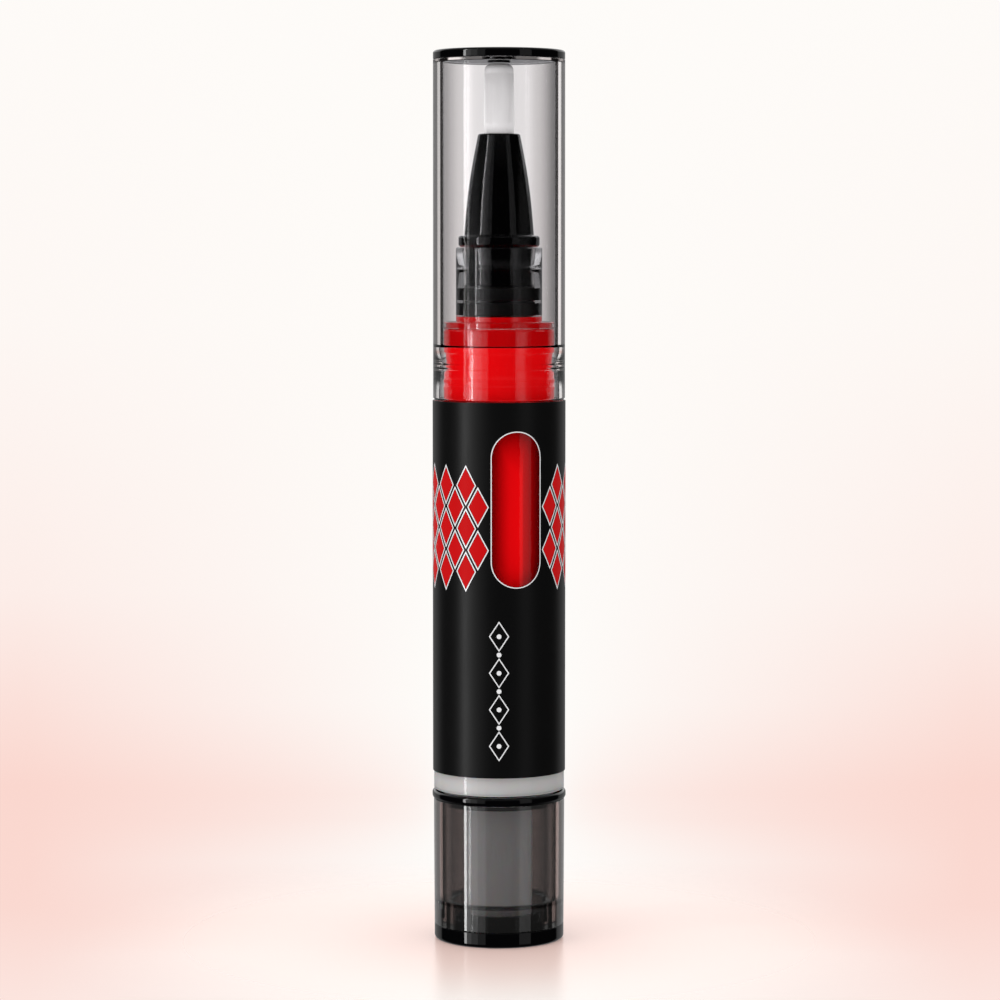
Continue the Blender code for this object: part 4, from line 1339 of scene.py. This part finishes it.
@dataclass
class Label(Assembly):
    """The black label sleeve, its window and the print on it."""

    inner_radius: float = 8.48 * MM
    edge_fillet: float = 0.04 * MM
    window_angle: float = math.radians(-74.6)
    window_drop: float = 3.8 * MM
    window_length: float = 19.75 * MM
    window_width: float = 6.45 * MM
    window_rim: float = 0.13 * MM
    window_margin: float = 0.05 * MM
    band_middle: float = 54.1 * MM
    band_rows: int = 5
    row_pitch: float = 0.53
    lozenge_width: float = 2.9 * MM
    lozenge_height: float = 5.2 * MM
    line_width: float = 0.135 * MM
    outline_trim: Range = (2.3, 4.3)
    fill_trim: Range = (3.2, 6.0)
    lozenges_round: int = 16
    clear_of_window: float = 0.2 * MM
    column_angle: float = math.radians(-90)
    column_middle: float = 33.3 * MM
    column_pitch: float = 4.7 * MM
    column_count: int = 4
    column_width: float = 2.6 * MM
    column_height: float = 3.9 * MM
    column_trim: Range = (2.6, 3.6)
    dot_size: float = 0.62 * MM
    dot_stretch: float = 1.001

    def build(self) -> None:
        """Builds the label."""
        low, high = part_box("label_sleeve")
        window_z = high.z - self.window_drop - self.window_length / 2
        self._sleeve(low.z, high.z, high.x, window_z)
        ink = Print(high.x)
        self._rim(ink, window_z)
        self._band(ink, window_z)
        self._column(ink)

    def _sleeve(self, low: float, high: float, radius: float, window_z: float) -> None:
        """Turns the sleeve and cuts its window.

        Args:
            low: The height of its lower edge.
            high: The height of its upper edge.
            radius: Its outer radius.
            window_z: The height of the window's middle.
        """
        section = [
            (radius, low, self.edge_fillet),
            (radius, high, self.edge_fillet),
            (self.inner_radius, high),
            (self.inner_radius, low),
        ]
        sleeve = self.lathe.turned("label_film", section, self.palette.label)
        block = prism(stadium(self.window_width, self.window_length), 0.0, 2 * radius)
        block.rotation_euler = (math.pi / 2, 0, self.window_angle + math.pi / 2)
        block.location.z = window_z
        seated(carved(sleeve, [block]), self.body, Slot.LABEL, "label_sleeve")

    def _print(self, ink: Print, name: str, shape: Shape, finish: Finish) -> None:
        """Makes a printed piece and seats it."""
        seated(ink.finished(name, shape, finish), self.body, Slot.LABEL)

    def _rim(self, ink: Print, window_z: float) -> None:
        """Prints the silver line round the window.

        Args:
            ink: The layer of ink.
            window_z: The height of the window's middle.
        """
        inner = stadium(self.window_width + self.window_margin, self.window_length + self.window_margin)
        grown = self.window_margin + 2 * self.window_rim
        outer = stadium(self.window_width + grown, self.window_length + grown)
        shape = bmesh.new()
        ink.band(shape, outer, inner, (self.window_angle, window_z))
        self._print(ink, "window_outline", shape, self.palette.silver)

    def _trimmed(self, width: float, height: float, trim: Range) -> Loop:
        """Draws a lozenge, made smaller by so many line widths across and up."""
        return lozenge(width - trim[0] * self.line_width, height - trim[1] * self.line_width)

    def _band(self, ink: Print, window_z: float) -> None:
        """Prints the lozenge band round the label, clear of the window.

        Args:
            ink: The layer of ink.
            window_z: The height of the window's middle.
        """
        outlines, fills = bmesh.new(), bmesh.new()
        size = (self.lozenge_width, self.lozenge_height)
        outer, inner = lozenge(*size), self._trimmed(*size, self.outline_trim)
        fill = self._trimmed(*size, self.fill_trim)
        pitch = 2 * math.pi / self.lozenges_round
        for row in range(-(self.band_rows // 2), self.band_rows // 2 + 1):
            height = self.band_middle + row * self.lozenge_height * self.row_pitch
            for number in range(self.lozenges_round):
                place = (self.window_angle + pitch * (number + 0.5 * (row % 2)), height)
                if not self._hits_window(place, window_z):
                    ink.band(outlines, outer, inner, place)
                    ink.patch(fills, fill, place)
        self._print(ink, "lozenge_outlines", outlines, self.palette.silver)
        self._print(ink, "lozenge_fills", fills, self.palette.red_ink)

    def _hits_window(self, place: Place, window_z: float) -> bool:
        """Tells whether a lozenge would touch the window or its outline.

        Args:
            place: The angle and the height of its middle.
            window_z: The height of the window's middle.

        Returns:
            Whether it would.
        """
        turn = (place[0] - self.window_angle + math.pi) % (2 * math.pi) - math.pi
        across = abs(turn) * self.inner_radius
        near = across < (self.window_width + self.lozenge_width) / 2 + self.clear_of_window
        return near and abs(place[1] - window_z) < (self.window_length + self.lozenge_height) / 2

    def _column(self, ink: Print) -> None:
        """Prints the column of plain lozenges and dots under the band.

        Args:
            ink: The layer of ink.
        """
        shape = bmesh.new()
        size = (self.column_width, self.column_height)
        outer, inner = lozenge(*size), self._trimmed(*size, self.column_trim)
        dot = stadium(self.dot_size, self.dot_size * self.dot_stretch, steps=8)
        start = self.column_middle - self.column_pitch * (self.column_count - 1) / 2
        for number in range(self.column_count):
            height = start + self.column_pitch * number
            ink.band(shape, outer, inner, (self.column_angle, height))
            ink.patch(shape, dot, (self.column_angle, height), rings=2)
            if number:
                ink.patch(shape, dot, (self.column_angle, height - self.column_pitch / 2), rings=2)
        self._print(ink, "lozenge_column", shape, self.palette.silver)


@dataclass
class Knob(Assembly):
    """The turning knob: its base, its smoked shell, its ring and the tube in it."""

    body: ClassVar[Body] = Body.KNOB
    plug_height: float = 1.95 * MM
    plug_fillet: float = 0.45 * MM
    rim_radius: float = 6.02 * MM
    rim_wall: float = 0.7 * MM
    rim_height: float = 0.9 * MM
    socket_bore: float = 4.35 * MM
    socket_wall: float = 0.7 * MM
    socket_height: float = 1.6 * MM
    foot_radius: float = 8.42 * MM
    bore_radius: float = 6.82 * MM
    ledge_height: float = 3.15 * MM
    ledge_bore: float = 6.07 * MM
    notch_depth: float = 2.4 * MM
    notch_reach: float = 6.57 * MM
    notch_width: float = 1.0 * MM
    notch_pairs: int = 4
    notch_angle: float = math.radians(7.6)
    cut_overrun: float = 1.0 * MM
    lip_radius: float = 6.77 * MM
    lip_depth: float = 0.8 * MM
    lip_wall: float = 0.6 * MM
    ring_fillet: float = 0.4 * MM
    tube_wall: float = 0.9 * MM
    tube_radius: float = 4.3 * MM
    tube_flange: float = 1.5 * MM
    key_length: float = 4.0 * MM
    key_bore: float = 2.75 * MM
    edge_fillet: float = 0.08 * MM

    def build(self) -> None:
        """Builds the knob."""
        self._plug()
        self._shell()
        self._ring()
        self._tube()

    def _plug(self) -> None:
        """Turns the black base with its rim and socket."""
        _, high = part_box("knob_base_plug")
        deck = self.plug_height
        section = [
            (0, deck),
            (self.socket_bore, deck),
            (self.socket_bore, deck + self.socket_height, self.edge_fillet),
            (self.socket_bore + self.socket_wall, deck + self.socket_height, self.edge_fillet),
            (self.socket_bore + self.socket_wall, deck, self.edge_fillet),
            (self.rim_radius - self.rim_wall, deck, self.edge_fillet),
            (self.rim_radius - self.rim_wall, deck + self.rim_height, self.edge_fillet),
            (self.rim_radius, deck + self.rim_height, self.edge_fillet),
            (self.rim_radius, deck),
            (high.x, deck, self.edge_fillet),
            (high.x, 0, self.plug_fillet),
            (0, 0),
        ]
        self.turn("knob_base", "knob_base_plug", Slot.GLOSS, self.palette.gloss, section)

    def _shell(self) -> None:
        """Turns the smoked tube and cuts the notches in its ledge."""
        low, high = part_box("knob_shell")
        ledge = low.z + self.ledge_height
        shell = self.lathe.turned(
            "knob_tube",
            [
                (self.foot_radius, low.z, self.edge_fillet),
                (high.x, high.z, self.edge_fillet),
                (self.bore_radius, high.z),
                (self.bore_radius, ledge, self.edge_fillet),
                (self.ledge_bore, ledge, self.edge_fillet),
                (self.ledge_bore, low.z),
            ],
            self.palette.knob,
        )
        reach, half = self.notch_reach, self.notch_width / 2
        blocks = []
        outline = [(-reach, -half), (reach, -half), (reach, half), (-reach, half)]
        for pair in range(self.notch_pairs):
            block = prism(outline, ledge - self.notch_depth, ledge + self.cut_overrun)
            block.rotation_euler.z = self.notch_angle - math.pi / 2 + math.pi * pair / self.notch_pairs
            blocks.append(block)
        seated(carved(shell, blocks), self.body, Slot.SMOKED, "knob_shell")

    def _ring(self) -> None:
        """Turns the black ring on the knob's top."""
        low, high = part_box("knob_rim_ring")
        seat = low.z + self.lip_depth
        section = [
            (self.lip_radius, low.z, self.edge_fillet),
            (self.lip_radius, seat),
            (high.x, seat, self.ring_fillet),
            (high.x, high.z, self.ring_fillet),
            (self.lip_radius - self.lip_wall, high.z, self.edge_fillet),
            (self.lip_radius - self.lip_wall, low.z, self.edge_fillet),
        ]
        self.turn("knob_ring", "knob_rim_ring", Slot.GLOSS, self.palette.gloss, section)

    def _tube(self) -> None:
        """Turns the driver tube that shows through the smoked shell."""
        low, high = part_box("driver_tube")
        bore = self.tube_radius - self.tube_wall
        section = [
            (self.key_bore, high.z, self.edge_fillet),
            (high.x, high.z, self.edge_fillet),
            (high.x, high.z - self.tube_flange, self.edge_fillet),
            (self.tube_radius, high.z - self.tube_flange, self.edge_fillet),
            (self.tube_radius, low.z),
            (bore, low.z),
            (bore, high.z - self.key_length, self.edge_fillet),
            (self.key_bore, high.z - self.key_length, self.edge_fillet),
        ]
        self.turn("driver_tube_fine", "driver_tube", Slot.NATURAL, self.palette.tube, section)


@dataclass
class Mechanism(Assembly):
    """The inner pieces: the sleeve seen under the label, and the CAD pieces that stay."""

    bore_radius: float = 5.6 * MM
    shelf_bore: float = 4.45 * MM
    shelf_drop: float = 2.8 * MM
    edge_fillet: float = 0.08 * MM

    def build(self) -> None:
        """Builds the sleeve and dresses the CAD pieces."""
        self._sleeve()
        kept = {
            "guide_nut": self.palette.white,
            "feed_tube": self.palette.white,
            "click_spring": self.palette.white,
            "screw_rod": self.palette.white,
            "piston": self.palette.natural,
            "brush_ferrule": self.palette.steel,
        }
        for name, finish in kept.items():
            for slot in frame["nodes"][name].material_slots:
                slot.material = finish
            LOG.info("%s keeps its CAD shape, with the finish %s", name, finish.name)

    def _sleeve(self) -> None:
        """Turns the sleeve, which is pressed against the bore in the barrel's foot."""
        low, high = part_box("mechanism_sleeve")
        outer = Barrel.seat_radius + Barrel.wetting
        shelf = high.z - self.shelf_drop
        section = [
            (outer, low.z, self.edge_fillet),
            (outer, high.z, self.edge_fillet),
            (self.bore_radius, high.z),
            (self.bore_radius, shelf + self.edge_fillet),
            (self.shelf_bore, shelf + self.edge_fillet),
            (self.shelf_bore, shelf),
            (self.bore_radius, shelf),
            (self.bore_radius, low.z, self.edge_fillet),
        ]
        self.turn("mechanism_sleeve_fine", "mechanism_sleeve", Slot.NATURAL, self.palette.natural, section)


class Side(Enum):
    """Where a lamp stands, as a sign on the X axis seen from the camera."""

    LEFT = -1.0
    RIGHT = 1.0


@dataclass(frozen=True)
class Strip:
    """An upright strip lamp, given by the angles between which the pen sees it."""

    name: str
    side: Side
    near_angle: float
    far_angle: float
    radiance: float
    distance: float = 0.5
    low: float = -0.14
    high: float = 0.40

    def build(self) -> None:
        """Hangs the lamp beside the camera, turned to the pen."""
        middle = math.radians((self.near_angle + self.far_angle) / 2)
        width = 2 * self.distance * math.tan(math.radians((self.far_angle - self.near_angle) / 2))
        height = self.high - self.low
        lamp = bpy.data.lights.new(self.name, "AREA")
        lamp.shape = "RECTANGLE"
        lamp.size = width
        lamp.size_y = height
        lamp.energy = self.radiance * math.pi * width * height
        stand = bpy.data.objects.new(self.name, lamp)
        x = self.side.value * math.sin(middle) * self.distance
        y = -math.cos(middle) * self.distance
        stand.location = (x, y, (self.low + self.high) / 2)
        stand.rotation_euler = Vector((x, y, 0)).to_track_quat("Z", "Y").to_euler()
        bpy.context.scene.collection.objects.link(stand)
        LOG.info("lamp %s, %.2f W", self.name, lamp.energy)


@dataclass(frozen=True)
class Camera:
    """The camera, where the photograph was taken from."""

    distance: float = 0.4526
    height: float = 0.0902
    side: float = 0.00012
    tilt: float = math.radians(4.169)
    lens: float = 126.0
    sensor: float = 36.0
    clip: Range = (0.01, 20.0)

    def build(self) -> None:
        """Stands the camera before the pen."""
        data = bpy.data.cameras.new("camera")
        data.lens = self.lens
        data.sensor_width = self.sensor
        data.clip_start, data.clip_end = self.clip
        camera = bpy.data.objects.new("camera", data)
        camera.location = (self.side, -self.distance, self.height)
        camera.rotation_euler = (math.pi / 2 - self.tilt, 0, 0)
        bpy.context.scene.collection.objects.link(camera)
        bpy.context.scene.camera = camera


@dataclass(frozen=True)
class Floor:
    """The pale glossy floor, with pink painted shade round the pen, which fades into the backdrop away from
    the pen.
    """

    white: Colour = (0.98, 0.95, 0.90)
    # painted shade: the pink the floor turns near the pen
    pink: Colour = (0.98, 0.75, 0.68)
    painted_shade_reach: Range = (10.0 * MM, 58.0 * MM)
    glow: Colour = (1.0, 0.62, 0.58)
    glow_strength: float = 0.10
    roughness: float = 0.22
    fade_reach: Range = (16.0 * MM, 60.0 * MM)
    radius: float = 0.30
    segments: int = 96
    drop: float = 0.02 * MM

    def build(self) -> None:
        """Lays the floor just under the pen."""
        shape = bmesh.new()
        bmesh.ops.create_circle(shape, cap_ends=True, segments=self.segments, radius=self.radius)
        floor = new_object("floor", shape, self._material())
        floor.location.z = -self.drop

    def _material(self) -> Finish:
        """Makes the floor's material, which only the camera sees.

        Returns:
            The material.
        """
        material, tree, shader = material_tree("pale_floor")
        length = tree.add("ShaderNodeVectorMath", {0: tree.own_place()}, operation="LENGTH")
        reach = length.outputs["Value"]
        # painted shade: pink share, full near the pen and gone by the end of its reach
        pink = tree.spread(reach, self.painted_shade_reach, (1.0, 0.0))
        sources = {
            "Base Color": tree.mix(pink, (*self.white, 1.0), (*self.pink, 1.0)),
            "Roughness": self.roughness,
            "Emission Color": (*self.glow, 1.0),
            "Emission Strength": self.glow_strength,
        }
        tree.feed_all(shader, sources)
        ends = {"Value": reach, "From Min": self.fade_reach[0], "From Max": self.fade_reach[1]}
        fade = tree.add("ShaderNodeMapRange", ends, interpolation_type="SMOOTHSTEP").outputs["Result"]
        seen = tree.add("ShaderNodeLightPath").outputs["Is Camera Ray"]
        clear = tree.math("MAXIMUM", fade, tree.math("SUBTRACT", 1.0, seen))
        through = tree.add("ShaderNodeBsdfTransparent").outputs[0]
        mixed_output(material, tree, clear, shader.outputs[0], through)
        return material


@dataclass(frozen=True)
class Backdrop:
    """The pale backdrop, the surround that gloss and clear walls see, and the soft light."""

    white: Colour = (0.990, 0.970, 0.945)
    pink: Colour = (0.956, 0.655, 0.594)
    glow_heights: Range = (-0.26, 0.10)
    glow: Stops = (
        *((0.0, 0.0), (0.134, 0.60), (0.176, 0.76), (0.207, 0.88), (0.30, 0.92)),
        *((0.3625, 0.707), (0.45, 0.38), (0.66, 0.12), (1.0, 0.0)),
    )
    # the low stops near 0.18 paint a pink shadow band at the height of the pen's foot
    breadth_with_shadow_band: Stops = (
        *((0.134, 1.0), (0.160, 0.85), (0.1685, 0.75), (0.176, 0.35), (0.1917, 0.20), (0.207, 0.65)),
        *((0.238, 1.0), (0.27, 0.50), (0.29, 0.42), (0.33, 0.70), (0.3625, 1.0)),
    )
    glow_sides: Range = (0.018, 0.135)
    behind: Stops = ((0.0, 0.003), (0.77, 0.003), (0.81, 0.85), (1.0, 1.0))
    behind_heights: Range = (0.08, 0.15)
    behind_greys: Range = (0.33, 0.95)
    ceiling_heights: Range = (0.34, 0.50)
    ceiling_grey: float = 0.16
    gain_reach: float = 90.0
    gain_most: float = 1.3
    through_gains: Stops = (
        *((-60.0, 1.0), (-40.0, 1.0), (-33.0, 0.55), (-20.0, 0.48), (-11.0, 0.74), (-7.4, 0.88)),
        *((-6.1, 0.88), (-5.85, 1.30), (-4.6, 1.27), (-3.6, 1.05), (-2.8, 1.0), (0.0, 1.0)),
        *((4.8, 0.98), (6.0, 0.84), (8.5, 0.74), (12.5, 0.56), (20.0, 0.26), (26.0, 0.20)),
        *((32.0, 0.30), (42.0, 1.0), (60.0, 1.0)),
    )
    edge_gains: Stops = (
        *((-90.0, 0.003), (-75.0, 0.003), (-65.0, 0.50), (-60.0, 0.50), (-52.0, 0.01), (-40.5, 0.01)),
        *((-38.5, 0.72), (-28.0, 0.72), (-24.0, 0.16), (-8.0, 0.16), (0.0, 0.22), (8.0, 0.18)),
        *((22.0, 0.16), (26.0, 1.0), (37.0, 1.10), (39.0, 0.01), (52.0, 0.01), (60.0, 0.50)),
        *((65.0, 0.50), (75.0, 0.003), (90.0, 0.003)),
    )
    height_reach: float = 0.6
    height_gains: Stops = ((0.0, 0.05), (0.14, 0.05), (0.24, 1.0), (0.62, 1.0), (0.70, 0.05), (1.0, 0.05))
    ambient_heights: Range = (-0.15, 0.25)
    ambient_greys: Range = (0.9, 1.05)
    least_level: float = 0.001
    wall_faces: float = 2.5

    def build(self) -> None:
        """Makes the world, which shows each kind of ray its own side of the studio."""
        world = bpy.data.worlds.new("studio")
        world.use_nodes = True
        bpy.context.scene.world = world
        tree = Tree(world.node_tree)
        directions = tree.axes(tree.add("ShaderNodeTexCoord").outputs["Generated"])
        x, y, z = (directions[name] for name in "XYZ")
        squares = tree.math("ADD", tree.math("POWER", x, 2.0), tree.math("POWER", y, 2.0))
        level = tree.math("MAXIMUM", tree.math("SQRT", squares), self.least_level)
        aside = tree.math("ABSOLUTE", tree.math("DIVIDE", x, level))
        backdrop = self._backdrop(tree, z, aside)
        surround = self._surround(tree, z, tree.math("DIVIDE", y, level))
        through, edges = self._gains(tree, z, tree.math("ARCTAN2", x, y))
        grey = tree.spread(z, self.ambient_heights, self.ambient_greys)
        ambient = tree.add("ShaderNodeCombineColor", {0: grey, 1: grey, 2: grey}).outputs[0]

        path = tree.add("ShaderNodeLightPath").outputs
        crossed = path["Transmission Depth"]
        straight = tree.math("LESS_THAN", path["Glossy Depth"], 0.5)
        bent = tree.math("GREATER_THAN", crossed, 0.5)
        in_wall = tree.math("MULTIPLY", bent, tree.math("LESS_THAN", crossed, self.wall_faces))
        gain = tree.mix(straight, edges, through)
        walls = tree.add("ShaderNodeVectorMath", {0: backdrop, 1: gain}, operation="MULTIPLY").outputs[0]
        seen = tree.mix(bent, backdrop, walls)
        colour = tree.mix(tree.math("MAXIMUM", straight, in_wall), surround, seen)
        soft = tree.math("MINIMUM", path["Diffuse Depth"], 1.0)
        background = world.node_tree.nodes["Background"]
        tree.feed(background.inputs["Color"], tree.mix(soft, colour, ambient))

    def _backdrop(self, tree: Tree, z: Socket, aside: Socket) -> Socket:
        """Makes the backdrop's colour: almost white, with a pink glow low down at both sides, and a pinker
        band of painted shadow at the height of the pen's foot.

        Args:
            tree: The world's tree.
            z: How far up a ray points.
            aside: How far to either side it points.

        Returns:
            The colour.
        """
        along = tree.spread(z, self.glow_heights, (0.0, 1.0))
        out = tree.spread(aside, self.glow_sides, (0.0, 1.0))
        wide = tree.math("POWER", out, tree.curve(along, self.breadth_with_shadow_band))
        share = tree.math("MULTIPLY", tree.curve(along, self.glow), wide)
        return tree.mix(share, (*self.white, 1.0), (*self.pink, 1.0))

    def _surround(self, tree: Tree, z: Socket, ahead: Socket) -> Socket:
        """Makes what gloss sees: pale behind the pen, a pale ceiling, and dark elsewhere.

        Args:
            tree: The world's tree.
            z: How far up a ray points.
            ahead: How far it points away from the camera.

        Returns:
            The grey.
        """
        shape = tree.curve(tree.spread(ahead, (-1.0, 1.0), (0.0, 1.0)), self.behind)
        behind = tree.math("MULTIPLY", shape, tree.spread(z, self.behind_heights, self.behind_greys))
        return tree.math("MAXIMUM", behind, tree.spread(z, self.ceiling_heights, (0.0, self.ceiling_grey)))

    def _gains(self, tree: Tree, z: Socket, azimuth: Socket) -> list[Socket]:
        """Finds how pale a clear wall shows the backdrop, by how far it turns the view aside and up.

        Args:
            tree: The world's tree.
            z: How far up a ray points.
            azimuth: Where round the pen it points.

        Returns:
            The gain of a view straight through a wall, and of one thrown back inside it.
        """
        reach = math.radians(self.gain_reach)
        along = tree.spread(azimuth, (-reach, reach), (0.0, 1.0))
        upright = tree.spread(z, (-self.height_reach, self.height_reach), (0.0, 1.0))
        level_gain = tree.curve(upright, self.height_gains)
        made = []
        for gains in (self.through_gains, self.edge_gains):
            stops = [(0.5 + turn / (2 * self.gain_reach), gain / self.gain_most) for turn, gain in gains]
            aside = tree.math("MULTIPLY", tree.curve(along, tuple(stops)), self.gain_most)
            made.append(tree.math("MULTIPLY", aside, level_gain))
        return made


STUDIO = (
    Strip("left_edge_light", Side.LEFT, 59.2, 64.0, 7.5),
    Strip("left_strip", Side.LEFT, 50.0, 59.1, 1.1),
    Strip("left_strip_middle", Side.LEFT, 38.0, 49.9, 0.65),
    Strip("left_strip_inner", Side.LEFT, 24.0, 37.9, 0.28),
    Strip("right_strip", Side.RIGHT, 36.0, 58.0, 0.28),
    Backdrop(),
    Floor(),
    Camera(),
)


def clear_startup() -> None:
    """Removes what Blender's own startup file holds."""
    for thing in list(bpy.context.scene.objects):
        if thing.name in ("Cube", "Light", "Camera") and "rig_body" not in thing:
            bpy.data.objects.remove(thing, do_unlink=True)


def write_sizes() -> None:
    """Brings the view layer up to date."""
    bpy.context.view_layer.update()


def main() -> None:
    """Builds the finishes, the pen and the studio in order."""
    logging.basicConfig(level=logging.INFO, format="%(name)s: %(message)s")
    clear_startup()
    bpy.context.scene.view_settings.view_transform = "Standard"
    palette = Palette(Effects())
    for assembly in (Cap, Barrel, Nozzle, Brush, Label, Knob, Mechanism):
        assembly(palette).build()
    for thing in STUDIO:
        thing.build()
    write_sizes()


if __name__ == "__main__":
    main()
